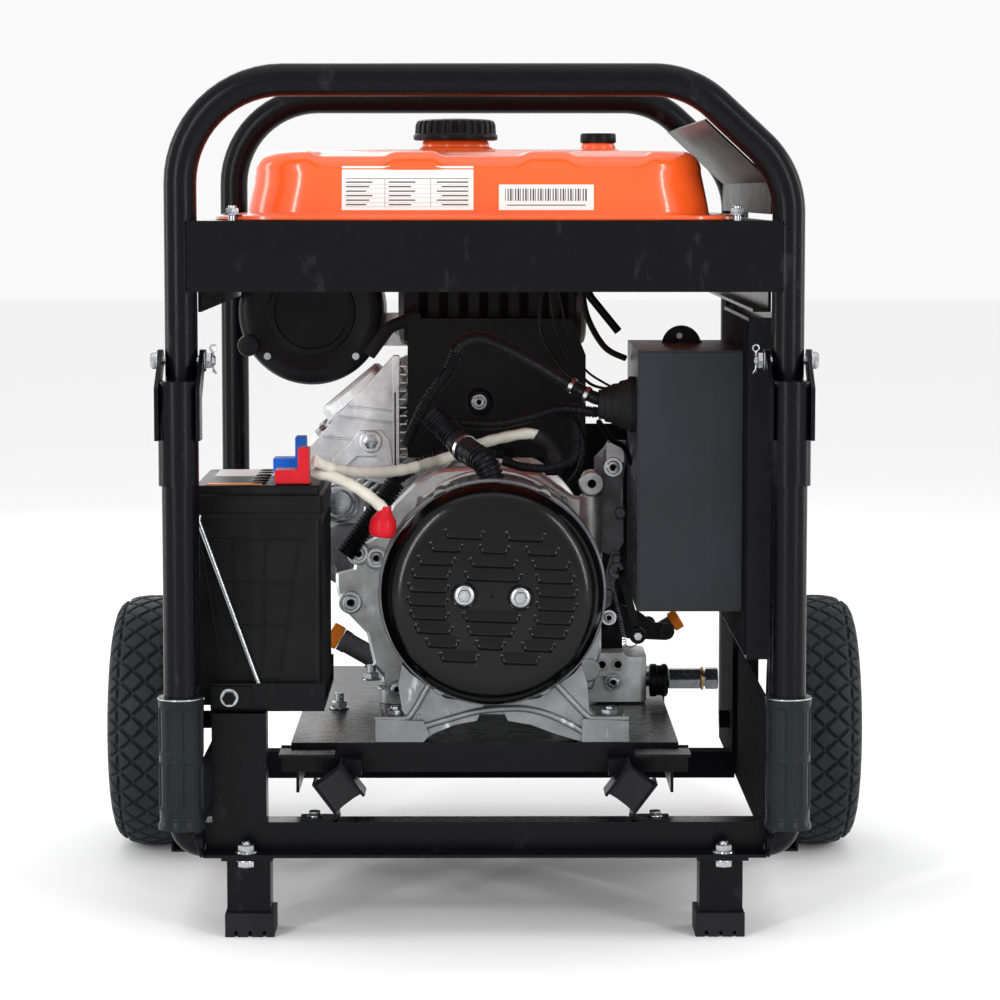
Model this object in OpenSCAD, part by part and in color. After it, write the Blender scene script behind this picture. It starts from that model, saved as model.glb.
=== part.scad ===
// Open-frame portable generator: tube cage, red tank, engine and alternator on a sprung cradle,
// starter battery, control box, two pneumatic wheels and two fold-up carrying handles.
// Millimetres, +Z up. The alternator end faces -Y. The origin is on the floor under the middle.

/* [Frame] */
// Half the distance between the centre lines of the two posts of a loop
post_x = 296; // [290:1:300]
// Outside radius of the frame tube
tube_r = 16; // [15:0.5:17]
// Wall thickness of the frame tube
tube_wall = 2; // [1.5:0.5:3]
// Height of the centre line of the loops' top run
loop_top_z = 845; // [835:1:860]
// Distance from the front loop to the rear loop, centre to centre
loop_gap = 690; // [680:1:700]

/* [Wheels] */
// Radius over the tread
wheel_r = 141; // [138:1:143]
// Distance of the axle behind the front loop
axle_d = 482; // [478:1:486]

/* [Handles] */
// Height of the handle pivots
pivot_z = 573; // [565:1:580]
// Distance of the hanging handle in front of its post
handle_offset = 39; // [38:1:41]
// Radius of the pivot pin
pin_r = 5; // [4:0.5:6]
// Running clearance between a shaft and its bore, on the radius
running_gap = 0.05; // [0.02:0.01:0.08]

/* [Alternator] */
// Radius of the dished end cover
cover_r = 112; // [108:1:113]
// Radius of the shaft in the tail bearing
shaft_r = 12.5; // [12:0.5:13]

/* [Hidden] */
$fn = 64;

// Colours
frame_black = [0.07, 0.07, 0.08];
rubber_black = [0.13, 0.13, 0.13];
steel = [0.72, 0.73, 0.75];
cast_alloy = [0.66, 0.67, 0.68];
tank_red = [0.86, 0.16, 0.08];
cap_orange = [0.95, 0.5, 0.12];

// Every module below works in x, depth behind the front loop, z
front_y = -322;
plate = 3;
base_z = [83, 113];
tank_seat_z = 709;
plate_z = 182;
axis_x = 7.5;
axis_z = 335;
axle_z = wheel_r;
axle_r = 10;
rail_x = [282, 312];
battery_x = [-291, -162];
battery_d = [40, 237];

module from_front() {
    translate([0, front_y, 0]) children();
}

module block(x, d, z) {
    translate([x[0], d[0], z[0]]) cube([x[1] - x[0], d[1] - d[0], z[1] - z[0]]);
}

module rod_x(x, d, z, r) {
    translate([x[0], d, z]) rotate([0, 90, 0]) cylinder(h = x[1] - x[0], r = r);
}

module rod_y(x, d, z, r) {
    translate([x, d[0], z]) rotate([-90, 0, 0]) cylinder(h = d[1] - d[0], r = r);
}

module rod_z(x, d, z, r) {
    translate([x, d, z[0]]) cylinder(h = z[1] - z[0], r = r);
}

module both_sides() {
    children();
    mirror([1, 0, 0]) children();
}

// Rod between two points
module rod(a, b, r) {
    v = b - a;
    translate(a) rotate([0, acos(v[2] / norm(v)), atan2(v[1], v[0])]) cylinder(h = norm(v), r = r);
}

// Box tube or open box: outer block less an inner one
module box_tube_x(x, d, z, wall) {
    difference() {
        block(x, d, z);
        block([x[0] - 1, x[1] + 1], [d[0] + wall, d[1] - wall], [z[0] + wall, z[1] - wall]);
    }
}

module box_tube_y(x, d, z, wall) {
    difference() {
        block(x, d, z);
        block([x[0] + wall, x[1] - wall], [d[0] - 1, d[1] + 1], [z[0] + wall, z[1] - wall]);
    }
}

module box_tube_z(x, d, z, wall) {
    difference() {
        block(x, d, z);
        block([x[0] + wall, x[1] - wall], [d[0] + wall, d[1] - wall], [z[0] - 1, z[1] + 1]);
    }
}

// Bolt head, washer and nut stacked along +Z from z = 0, with the grip length between them
module bolt_set(r, grip, nut = true) {
    head_r = 1.75 * r;
    washer_r = 2.2 * r;
    translate([0, 0, -1.5]) cylinder(h = 1.5, r = washer_r);
    translate([0, 0, -1.5 - 1.3 * r]) cylinder(h = 1.3 * r, r = head_r, $fn = 6);
    translate([0, 0, -0.01]) cylinder(h = grip + 0.02, r = r);
    if (nut) {
        translate([0, 0, grip]) cylinder(h = 1.5, r = washer_r);
        translate([0, 0, grip + 1.5]) cylinder(h = 1.6 * r, r = head_r, $fn = 6);
        translate([0, 0, grip + 1.5 + 1.6 * r]) cylinder(h = 3, r = r);
    }
}

// Signed turn between two plane directions, and a unit vector
function unit(v) = v / norm(v);
function turn(u, v) = atan2(u[0] * v[1] - u[1] * v[0], u[0] * v[0] + u[1] * v[1]);

// Centre line through corner points (x, z), each corner rounded at its own radius
bend_steps = 7;
function bend_points(a, corner, b, radius) =
    let (u = unit(corner - a), v = unit(b - corner), angle = turn(u, v),
        cut = radius * tan(abs(angle) / 2), normal = sign(angle) * [-u[1], u[0]],
        centre = corner - u * cut + normal * radius)
    [for (k = [0 : bend_steps]) let (t = angle * k / bend_steps)
        centre - radius * [normal[0] * cos(t) - normal[1] * sin(t),
            normal[0] * sin(t) + normal[1] * cos(t)]];
function bent_path(p, bend) = concat([p[0]],
    [for (i = [1 : len(p) - 2]) each bend_points(p[i - 1], p[i], p[i + 1], bend[i - 1])],
    [p[len(p) - 1]]);

// Hollow tube along a path in the XZ plane
module bent_tube(path, r, wall, sides = 20) {
    n = len(path) - 1;
    t = [for (k = [0 : n]) unit((k < n ? unit(path[k + 1] - path[k]) : [0, 0])
        + (k > 0 ? unit(path[k] - path[k - 1]) : [0, 0]))];
    points = [for (radius = [r, r - wall], k = [0 : n], s = [0 : sides - 1])
        let (a = 360 * s / sides, across = radius * cos(a))
        [path[k][0] - t[k][1] * across, -radius * sin(a), path[k][1] + t[k][0] * across]];
    inner = (n + 1) * sides;
    outer_walls = [for (k = [0 : n - 1], s = [0 : sides - 1]) let (next = (s + 1) % sides)
        [k * sides + s, (k + 1) * sides + s, (k + 1) * sides + next, k * sides + next]];
    inner_walls = [for (face = outer_walls) [for (i = [3 : -1 : 0]) face[i] + inner]];
    rims = [for (k = [0, n], s = [0 : sides - 1])
        let (next = (s + 1) % sides, here = k * sides,
            rim = [here + s, here + next, here + next + inner, here + s + inner])
        k == 0 ? rim : [for (i = [3 : -1 : 0]) rim[i]]];
    polyhedron(points = points, faces = concat(outer_walls, inner_walls, rims), convexity = 8);
}

// Ring around a swept point: side vectors come from the tangent and a fixed reference
function sweep_ring(c, t, r, sides) =
    let (side = unit(cross(t, [0.12, 1, 0.05])), up = cross(side, t))
    [for (k = [0 : sides - 1]) c + r * (cos(360 * k / sides) * side + sin(360 * k / sides) * up)];
function spline(p, i, t) =
    let (n = len(p) - 1, a = p[max(i - 1, 0)], b = p[i], c = p[min(i + 1, n)], d = p[min(i + 2, n)])
    0.5 * (2 * b + (c - a) * t + (2 * a - 5 * b + 4 * c - d) * t * t
        + (3 * b - a - 3 * c + d) * t * t * t);

// Closed tube swept along a smooth line through the given points
module hose(p, r, sides = 8, steps = 3) {
    n = (len(p) - 1) * steps;
    c = [for (k = [0 : n]) spline(p, min(floor(k / steps), len(p) - 2),
        k / steps - min(floor(k / steps), len(p) - 2))];
    t = [for (k = [0 : n]) unit(c[min(k + 1, n)] - c[max(k - 1, 0)])];
    rings = [for (k = [0 : n]) each sweep_ring(c[k], t[k], r, sides)];
    walls = [for (k = [0 : n - 1], s = [0 : sides - 1])
        [k * sides + s, k * sides + (s + 1) % sides, (k + 1) * sides + (s + 1) % sides,
            (k + 1) * sides + s]];
    first = [for (s = [sides - 1 : -1 : 0]) s];
    final = [for (s = [0 : sides - 1]) n * sides + s];
    polyhedron(points = rings, faces = concat(walls, [first], [final]), convexity = 8);
}

// ---- Frame ----

// Corner points of a loop's centre line; the right shoulder is cut at 45 degrees
function loop_points(foot) = concat(
    foot == 0 ? [[-post_x, base_z[1]]] : [[-post_x + foot, 98], [-post_x, 98]],
    [[-post_x, loop_top_z], [199, loop_top_z], [post_x, 755]],
    foot == 0 ? [[post_x, base_z[1]]] : [[post_x, 98], [post_x - foot, 98]]);

module front_loop() {
    color(frame_black) from_front()
        bent_tube(bent_path(loop_points(18), [17.5, 100, 90, 90, 17.5]), tube_r, tube_wall);
}

module rear_loop() {
    color(frame_black) from_front() translate([0, loop_gap, 0])
        bent_tube(bent_path(loop_points(0), [100, 90, 90]), tube_r, tube_wall);
}

// Z-section: flange to the front at the bottom, web, flange to the rear at the top
module front_base_rail() {
    color(frame_black) from_front() difference() {
        union() {
            block([-278, 278], [-16, 18], [base_z[0], base_z[0] + plate]);
            block([-278, 278], [15, 18], base_z);
            block([-278, 278], [15, 46], [base_z[1] - plate, base_z[1]]);
        }
        both_sides() rod_z(236, -5.5, [80, 90], 5.5);
    }
}

module base_rails() {
    color(frame_black) from_front() {
        both_sides() box_tube_y(rail_x, [16, loop_gap + tube_r], base_z, 2.5);
        box_tube_x([-282, 282], [456, 482], [78, 108], 2.5);
    }
}

// Upright channel on the inner face of each base rail, with the stub axle and its nut
module wheel_brackets() {
    color(frame_black) from_front() both_sides() {
        difference() {
            union() {
                block([277, 282], [485, 530], [73, 262]);
                block([277, 282], [430, 485], [109, 262]);
                block([282, 306], [430, 434], [base_z[1], 262]);
                block([282, 306], [526, 530], [base_z[1], 262]);
            }
            rod_x([270, 290], axle_d, axle_z, axle_r);
        }
        rod_x([266, 406], axle_d, axle_z, axle_r);
        translate([406, axle_d, axle_z]) rotate([0, 90, 0]) cylinder(h = 8, r = 15, $fn = 6);
    }
}

// Folded channel, open to the rear, coped round the posts
module crossbar() {
    z = [640, tank_seat_z];
    difference() {
        union() {
            block([-289, 289], [-tube_r, -tube_r + plate], z);
            block([-289, 289], [-tube_r, 30], [z[0], z[0] + plate]);
            block([-289, 289], [-tube_r, 30], [z[1] - plate, z[1]]);
        }
        both_sides() rod_z(post_x, 0, [z[0] - 1, z[1] + 1], tube_r);
        both_sides() rod_z(246, 8, [z[1] - 5, z[1] + 1], 4.5);
    }
}

module crossbars() {
    color(frame_black) from_front() {
        crossbar();
        translate([0, loop_gap, 0]) mirror([0, 1, 0]) crossbar();
    }
}

// Channel walls that tie the crossbars; the left one has no bottom flange
module upper_side_rails() {
    color(frame_black) from_front() {
        both_sides() block([279, 282], [30, 660], [619, tank_seat_z]);
        both_sides() block([255, 279], [30, 660], [tank_seat_z - plate, tank_seat_z]);
        block([264, 279], [30, 660], [619, 619 + plate]);
    }
}

// Sheets on the control side: sloped top panel with its upright wall, and the lower skirt
module side_sheets() {
    slope = [[0, 0], [0, 32], [-66, 93], [-67.5, 91.5], [-2, 31], [-2, 0]];
    color(frame_black) from_front() {
        translate([282, loop_gap - 18, 715]) rotate([90, 0, 0])
            linear_extrude(loop_gap - 36) polygon(slope);
        block([282, 284], [60, 430], [base_z[1], 231]);
    }
}

module foot_columns() {
    color(frame_black) from_front() both_sides() difference() {
        union() {
            box_tube_z([213, 256], [6, 46], [24, 80], 2.5);
            block([209, 260], [-16, 46], [80, 83]);
        }
        rod_z(236, -5.5, [78, 85], 5.5);
    }
}

module foot_pads() {
    color(rubber_black) from_front() both_sides() difference() {
        block([209, 258], [0, 54], [0, 24]);
        for (x = [218, 232, 246]) block([x, x + 4], [-1, 55], [-1, 6]);
    }
}

module foot_bolts() {
    color(steel) from_front() both_sides() translate([236, -5.5, 80]) bolt_set(5, 6);
}

// Pin through each post: washers, head outboard, nut and split cotter inboard
module handle_pins() {
    color(steel) from_front() both_sides() translate([post_x, 0, pivot_z]) rotate([0, 90, 0]) {
        translate([0, 0, -32]) cylinder(h = 62, r = pin_r);
        translate([0, 0, 24]) cylinder(h = 6, r = 8.5);
        translate([0, 0, 22.4]) cylinder(h = 1.6, r = 11);
        translate([0, 0, -24]) cylinder(h = 1.6, r = 11);
        translate([0, 0, -30]) cylinder(h = 6, r = 8.5, $fn = 6);
        translate([-13, 0, -31]) rotate([0, 90, 0]) cylinder(h = 26, r = 1.2);
    }
}

// ---- Handles ----

// Sleeve with two ears round the post, and the bent-free tube that it carries
module handle_arm() {
    ear = [[-54, -75], [-54, -24], [-8, 7.5], [8, -8], [-26, -36], [-26, -75]];
    difference() {
        union() {
            rod_z(0, -handle_offset, [pivot_z - 119, pivot_z - 18], 19.5);
            for (x = [-22, 18]) translate([x, 0, pivot_z]) rotate([90, 0, 90]) linear_extrude(4)
                union() {
                    circle(r = 11);
                    polygon(ear);
                }
        }
        rod_x([-30, 30], 0, pivot_z, pin_r + running_gap);
        rod_z(0, -handle_offset, [pivot_z - 130, pivot_z - 40], 16.5);
    }
    difference() {
        rod_z(0, -handle_offset, [121, pivot_z - 40], 16.5);
        rod_z(0, -handle_offset, [110, pivot_z], 14.5);
    }
}

module grip() {
    difference() {
        union() {
            rod_z(0, -handle_offset, [117.5, 248], 21.5);
            rod_z(0, -handle_offset, [240, 248], 23);
            rod_z(0, -handle_offset, [117.5, 122], 23);
        }
        rod_z(0, -handle_offset, [121, 260], 16.5);
    }
}

module left_handle_arm() {
    color(frame_black) from_front() translate([-post_x, 0, 0]) handle_arm();
}

module right_handle_arm() {
    color(frame_black) from_front() translate([post_x, 0, 0]) handle_arm();
}

module left_grip() {
    color(rubber_black) from_front() translate([-post_x, 0, 0]) grip();
}

module right_grip() {
    color(rubber_black) from_front() translate([post_x, 0, 0]) grip();
}

// ---- Wheels, drawn about +X with the inner side wall at x = 0 ----

tyre_w = 88;
rim_r = 58;

module tyre() {
    outline = [[rim_r, 18], [74, 6], [98, 0], [122, 6], [135, 17], [wheel_r, 32], [wheel_r, 56],
        [135, 71], [122, 82], [98, tyre_w], [74, 82], [rim_r, 70]];
    rotate([90, 0, 90]) rotate_extrude() difference() {
        polygon(outline);
        translate([96, tyre_w / 2]) circle(r = 30);
    }
}

module rim() {
    rotate([90, 0, 90]) rotate_extrude() {
        translate([axle_r + running_gap, 4]) square([12, 70]);
        translate([20, 40]) square([32, 4]);
        translate([50, 18]) square([4, 52]);
        translate([50, 18]) square([rim_r - 50, 3]);
        translate([50, 67]) square([rim_r - 50, 3]);
    }
}

module wheel_place() {
    from_front() translate([328, axle_d, axle_z]) children();
}

module left_tyre() {
    color(rubber_black) mirror([1, 0, 0]) wheel_place() tyre();
}

module right_tyre() {
    color(rubber_black) wheel_place() tyre();
}

module left_rim() {
    color(steel) mirror([1, 0, 0]) wheel_place() rim();
}

module right_rim() {
    color(steel) wheel_place() rim();
}

// ---- Battery ----

module battery_legs() {
    color(frame_black) from_front() {
        box_tube_z([-271, -217], [15, 46], [base_z[1], 222], 2);
        box_tube_z([-282, -262], [190, 220], [base_z[0] + 10, 222], 2);
    }
}

// Tray with front and rear lips; the bolted strap overlaps the front lip
module battery_tray() {
    color(frame_black) from_front() {
        block([-273, -160], [33, 240], [222, 225]);
        block([-273, -160], [30, 33], [222, 250]);
        block([-273, -160], [238, 240], [222, 250]);
        block([-273, -232], [27, 30], [226, 247]);
        translate([-254, 27, 236]) rotate([-90, 0, 0]) bolt_set(4, 6, false);
    }
}

// Both posts stand on the engine side, one at the front and one at the rear
terminal_x = -198;
terminal_d = [66, 212];

module battery() {
    color(rubber_black) from_front() {
        block(battery_x, battery_d, [226, 419]);
        block([battery_x[0] - 1, battery_x[1] + 1], [battery_d[0] - 1, battery_d[1] + 1], [419, 447]);
        for (d = terminal_d) rod_z(terminal_x, d, [447, 457], 8.5);
    }
}

module battery_rod() {
    color(steel) from_front() {
        rod([-284, 36.2, 412], [-219, 36.2, 230], 2.4);
        rod([-284, 36.2, 411], [-281, 36.2, 417], 2.4);
    }
}

// L-shaped terminal cover from its lower corner: base, hollow from below, and an upright at the engine side
module terminal_cover(x, d) {
    difference() {
        union() {
            block([x, x + 35], [d, d + 32], [447.3, 461]);
            block([x + 23, x + 34], [d, d + 32], [460, 483]);
        }
        block([x + 2, x + 33], [d + 2, d + 30], [446, 458.5]);
    }
}

module terminal_covers() {
    from_front() {
        color("red") terminal_cover(-209, 50);
        color("blue") terminal_cover(-220, 196);
    }
}

// ---- Tank ----

module tank_block(x, d, z, corner, edge) {
    hull() for (px = [x[0] + corner, x[1] - corner], pd = [d[0] + corner, d[1] - corner]) {
        translate([px, pd, z[0]]) cylinder(h = z[1] - z[0] - edge, r = corner, $fn = 32);
        translate([px, pd, z[0]]) cylinder(h = z[1] - z[0], r = corner - edge, $fn = 32);
    }
}

module fuel_tank() {
    color(tank_red) from_front() difference() {
        union() {
            tank_block([-236, 224], [24, 652], [tank_seat_z, 780], 62, 14);
            difference() {
                block([-270, 258], [-8, 684], [tank_seat_z, tank_seat_z + 5]);
                both_sides() for (d = [8, loop_gap - 8]) rod_z(246, d, [700, 720], 4.5);
            }
            rod_z(-30, 200, [778, 789], 34);
            rod_z(117, 200, [778, 787], 17);
            block([206, 224], [440, 460], [682, tank_seat_z]);
            rod_x([224, 231], 450, 690, 2);
        }
        tank_block([-233, 221], [27, 649], [tank_seat_z + 2, 777], 59, 13);
        rod_z(-30, 200, [770, 790], 26);
    }
}

module tank_bolts() {
    color(steel) from_front() both_sides() for (d = [8, loop_gap - 8])
        translate([246, d, tank_seat_z + 5]) mirror([0, 0, 1]) bolt_set(4, 8);
}

module fuel_gauge() {
    color(rubber_black) from_front() {
        rod_z(117, 200, [787, 797], 18.5);
    }
}

module fuel_cap() {
    color(rubber_black) from_front() difference() {
        union() {
            rod_z(-30, 200, [789.4, 812], 43.5);
            rod_z(-30, 200, [775, 790], 25.7);
        }
        for (a = [0 : 15 : 345]) translate([-30, 200, 789]) rotate([0, 0, a])
            translate([44.5, 0, 0]) cylinder(h = 18, r = 3, $fn = 13);
    }
}

// ---- Cradle ----

// Plate on two channels, with forward wings and a fin down each side
module cradle() {
    color(frame_black) from_front() {
        difference() {
            block([-196, 196], [80, 620], [plate_z - plate, plate_z]);
            for (x = foot_stud_x) rod_z(x, 95, [170, 190], 5);
        }
        for (d = [80, 521]) {
            block([-206, 206], [d, d + plate], [152, plate_z - plate]);
            block([-206, 206], [d, d + 30], [152, 152 + plate]);
        }
        both_sides() block([190, 193], [112, 519], [125, plate_z - plate]);
        both_sides() block([150, 206], [34, 80], [174.5, 177.5]);
    }
}

// Inclined rubber block between steel plates, its foot bracket and its hanger
module rubber_mount() {
    translate([145, 24, 147]) rotate([0, 37, 0]) {
        translate([-15, -18, -17]) cube([30, 36, 34]);
        for (x = [-18, 15]) translate([x, -20, -20]) cube([3, 40, 40]);
    }
    block([146, 184], [15, 44], [base_z[1], base_z[1] + plate]);
    block([145, 150], [15, 44], [base_z[1], 121]);
    block([124, 142], [44, 80], [154, 170]);
}

module rubber_mounts() {
    color(rubber_black) from_front() both_sides() {
        rubber_mount();
        translate([0, 441, -5]) rubber_mount();
    }
}

// ---- Alternator, drawn about its axis with local z running to the rear ----

foot_stud_x = [-91, 126];

module on_axis(d = 0) {
    from_front() translate([axis_x, d, axis_z]) rotate([-90, 0, 0]) children();
}

bolt_spread = 28;
bolt_tilt = 2.3;

module cover_bolt_places() {
    for (side = [0, 180]) rotate([0, 0, bolt_tilt + side]) translate([bolt_spread, 0, 0]) children();
}

module alternator_cover() {
    shell = [[0, 45], [84, 45], [100, 49], [108, 54], [cover_r, 62], [cover_r, 78], [110, 78],
        [110, 63], [106, 56], [98, 51], [84, 47], [0, 47]];
    color(frame_black) on_axis() difference() {
        rotate_extrude() polygon(shell);
        cover_bolt_places() translate([0, 0, 40]) cylinder(h = 10, r = 4);
    }
}

module alternator_bolts() {
    color(steel) on_axis(45) cover_bolt_places() bolt_set(4, 27, false);
    color(steel) from_front() for (x = foot_stud_x) translate([x, 95, plate_z - plate])
        bolt_set(5, 26);
}

// Tail bell: ring, spider wall, bearing hub, cover pillars and two splayed feet
module end_bell() {
    left_leg = [[-111, 182], [-60, 182], [-15, 222], [-66, 260], [-72, 205], [-111, 205]];
    right_leg = [[96, 182], [146, 182], [146, 205], [106, 205], [88, 262], [35, 222]];
    color(cast_alloy) difference() {
        union() {
            on_axis(79) cylinder(h = 41, r = 115);
            from_front() for (leg = [left_leg, right_leg]) translate([0, 118, 0])
                rotate([90, 0, 0]) linear_extrude(38) polygon(leg);
        }
        on_axis(70) cylinder(h = 60, r = 106);
        from_front() for (x = foot_stud_x) rod_z(x, 95, [180, 206], 5);
    }
    color(cast_alloy) on_axis(0) difference() {
        union() {
            translate([0, 0, 104]) cylinder(h = 8, r = 106);
            translate([0, 0, 84]) cylinder(h = 28, r = 38);
            cover_bolt_places() translate([0, 0, 47]) cylinder(h = 60, r = 9);
        }
        translate([0, 0, 80]) cylinder(h = 19, r = 26);
        translate([0, 0, 80]) cylinder(h = 40, r = 16);
        cover_bolt_places() translate([0, 0, 46]) cylinder(h = 30, r = 4);
        for (a = [0 : 45 : 315]) rotate([0, 0, a]) translate([72, 0, 100]) cylinder(h = 20, r = 20);
    }
}

module stator() {
    color(steel) on_axis(120) difference() {
        cylinder(h = 150, r = 105);
        translate([0, 0, -1]) cylinder(h = 152, r = 66);
    }
}

module tail_bearing() {
    color(steel) on_axis(84) difference() {
        cylinder(h = 15, r = 26);
        translate([0, 0, -1]) cylinder(h = 17, r = shaft_r + running_gap);
    }
}

// Shaft, wound core and cooling fan, in one turning piece
module rotor() {
    color(steel) on_axis() {
        translate([0, 0, 82]) cylinder(h = 500, r = shaft_r);
        difference() {
            translate([0, 0, 125]) cylinder(h = 140, r = 64.5);
            for (x = [-70, 48]) translate([x, -30, 120]) cube([22, 60, 150]);
        }
        translate([0, 0, 278]) cylinder(h = 4, r = 92);
        for (a = [0 : 30 : 330]) rotate([0, 0, a]) translate([55, -1, 282]) cube([36, 2, 16]);
    }
}

// ---- Engine ----

// Front wall of the crankcase, outlined in x and z, with a machined boss on the control side
case_wall = [
    [-161, 310], [-161, 329], [-142, 331], [-137, 355], [-119, 366], [-100, 401], [-75, 426], [-50, 439],
    [-5, 443], [60, 436], [96, 410], [126, 406], [126, 244], [118, 200], [-98, 200], [-120, 226],
    [-128, 262], [-150, 285], [-157, 300]
];
case_wall_d = [314, 331];

module crankcase() {
    color(cast_alloy) on_axis() difference() {
        union() {
            translate([0, 0, 330]) cylinder(h = 210, r = 110);
            translate([0, 0, 270]) cylinder(h = 60, r = 108);
            translate([0, 0, case_wall_d[0]]) linear_extrude(case_wall_d[1] - case_wall_d[0])
                polygon([for (p = case_wall) [p[0] - axis_x, axis_z - p[1]]]);
        }
        translate([0, 0, 338]) cylinder(h = 194, r = 98);
        translate([0, 0, 269]) cylinder(h = 61, r = 98);
        translate([0, 0, 320]) cylinder(h = 240, r = shaft_r + running_gap);
    }
    color(cast_alloy) difference() {
        from_front() union() {
            difference() {
                block([-115, 125], [331, 540], [plate_z, 262]);
                block([-107, 117], [339, 532], [plate_z + 8, 270]);
            }
            block([125, 176], [331, 420], [plate_z + 2, 234]);
            block([125, 152], [396, 400], [226, 262]);
            rod_y(140, [400, 406], 250, 3);
        }
        on_axis(320) cylinder(h = 240, r = 109.9);
    }
}

module up_the_bore() {
    from_front() translate([axis_x, 435, axis_z]) rotate([0, -40, 0]) children();
}

// Finned barrel with head and valve cover, leaning to the battery side
module cylinder_part() {
    translate([0, 0, 112]) cylinder(h = 80, r = 46);
    for (z = [120 : 9 : 183]) translate([-62, -58, z]) cube([124, 116, 3]);
    translate([-62, -58, 190]) cube([124, 116, 36]);
    translate([-46, -46, 226]) cube([92, 92, 20]);
}

// Smooth casting over the fins on the alternator side, outlined in x and z
side_casting = [
    [-194, 457], [-121, 536], [-101, 558], [-93, 558], [-93, 425], [-110, 418], [-150, 430], [-185, 445]
];

// Upright plate between two depths from an outline in x and z
module upright_plate(outline, d) {
    from_front() translate([0, d[1], 0]) rotate([90, 0, 0]) linear_extrude(d[1] - d[0]) polygon(outline);
}

module cylinder_block() {
    color(cast_alloy) up_the_bore() cylinder_part();
    color(cast_alloy) upright_plate(side_casting, [369, 378]);
}

// Black sheet that leads the cooling air past the barrel, on two standoffs and a lower tab
module air_guide() {
    sheet = [366, 369];
    color(frame_black) {
        difference() {
            upright_plate([[-84, 448], [110, 448], [110, 560], [94, 600], [-84, 600]], sheet);
            from_front() rod_y(-6, [365, 370], 509, 3.2);
        }
        from_front() {
            block([66, 84], sheet, [428.5, 448.5]);
            block([-84, 90], [368.5, 392], [597, 600]);
            block([-84, -81], [368.5, 376.5], [448, 600]);
            rod_y(-65, [368.5, 377], 468, 4);
            rod_y(-70, [368.5, 377], 506, 4);
        }
    }
    color(steel) from_front() {
        rod_y(-6, [362, 373], 509, 3.2);
        rod_y(-6, [361, 366], 509, 6.5);
    }
}

module fan_shroud() {
    color(frame_black) on_axis() difference() {
        union() {
            translate([0, 0, 560]) cylinder(h = 84, r = 150);
            translate([0, 0, 500]) rotate([0, 0, 197]) rotate_extrude(angle = 55)
                translate([140, 0]) square([99, 62]);
        }
        translate([0, 0, 562]) cylinder(h = 80, r = 148);
        translate([0, 0, 498]) rotate([0, 0, 199]) rotate_extrude(angle = 51)
            translate([130, 0]) square([107, 66]);
        translate([0, 0, 550]) cylinder(h = 20, r = 40);
        for (r = [30 : 18 : 120], a = [0 : 30 : 330])
            rotate([0, 0, a]) translate([r, 0, 640]) cylinder(h = 10, r = 4 + r / 60);
    }
}

module flywheel_fan() {
    color(cast_alloy) on_axis(566) {
        difference() {
            cylinder(h = 22, r = 100);
            translate([0, 0, -1]) cylinder(h = 17, r = shaft_r);
        }
        for (a = [0 : 24 : 336]) rotate([0, 0, a]) translate([68, -1.5, 20]) cube([30, 3, 36]);
    }
}

module starter_motor() {
    color(steel) from_front() {
        rod_y(-150, [400, 535], 338, 36);
        rod_y(-160, [385, 480], 396, 22.5);
    }
}

module air_cleaner() {
    color(frame_black) from_front() {
        rod_y(-194, [472, 570], 603, 82);
        rod_y(-264, [456, 500], 566, 12);
        block([-116, -76], [498, 540], [564, 600]);
    }
}

// Drum across the engine with a tail pipe to the rear
module muffler() {
    color(frame_black) from_front() difference() {
        union() {
            rod_x([-95, 112], 445, 612, 44);
            rod_y(90, [460, 640], 612, 14);
            rod_y(90, [600, 640], 612, 15);
        }
        rod_x([-93, 110], 445, 612, 42);
        rod_y(90, [455, 641], 612, 12.5);
    }
}

drain_d = 400;
drain_z = 200;

// Filler tube on the battery side; drain adapter, its plug and a blanking cap on the control side
module oil_filler() {
    color(frame_black) from_front() {
        rod([-160, 420, 241], [-122, 420, 219.3], 12.5);
        rod_x([176, 200], 352, 205, 18);
    }
    color(steel) from_front() {
        rod_x([176, 250], drain_d, drain_z, 9);
        for (hex = [[203, 36, 12.4], [244, 14, 13]]) translate([hex[0], drain_d, drain_z])
            rotate([0, 90, 0]) cylinder(h = hex[1], r = hex[2], $fn = 6);
    }
}

module oil_cap() {
    color(cap_orange) from_front() rod([-160.4, 420, 241.2], [-181, 420, 253], 14);
}

// ---- Controls ----

module control_box() {
    color(frame_black) from_front() difference() {
        block([155, 261], [115, 355], [311, 577]);
        block([157, 270], [117, 353], [313, 575]);
    }
}

module control_panel() {
    color([0.6, 0.6, 0.6]) from_front() difference() {
        block([261, 300], [70, 400], [268, 612]);
        block([250, 298], [72, 398], [270, 610]);
    }
}

socket_d = 235;
socket_z = [330, 420];
lid_x = 309;

// Fixed parts on the panel face: socket bodies with hinge lugs, breaker, meter and key barrel
module sockets() {
    color(rubber_black) from_front() {
        for (z = socket_z) {
            rod_x([300, 306], socket_d, z, 30);
            for (d = [socket_d - 16, socket_d + 13]) block([300, 312], [d, d + 3], [z + 28, z + 36]);
            rod_y(lid_x, [socket_d - 14, socket_d + 14], z + 33, 1.6);
        }
        rod_x([300, 304], 150, 540, 28);
        rod_x([300, 306], 330, 540, 12);
        difference() {
            block([300, 308], [215, 255], [510, 570]);
            block([299.9, 309], [225, 245], [525, 555]);
        }
        rod_y(306, [224, 246], 540, 1.5);
    }
}

module socket_lid(z) {
    from_front() difference() {
        union() {
            rod_x([306.4, 311], socket_d, z, 29);
            rod_y(lid_x, [socket_d - 12, socket_d + 12], z + 33, 2.7);
            block([306.6, 311], [socket_d - 12, socket_d + 12], [z + 20, z + 33]);
        }
        rod_y(lid_x, [socket_d - 13, socket_d + 13], z + 33, 1.6 + running_gap);
    }
}

module lower_socket_lid() {
    color(rubber_black) socket_lid(socket_z[0]);
}

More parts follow.
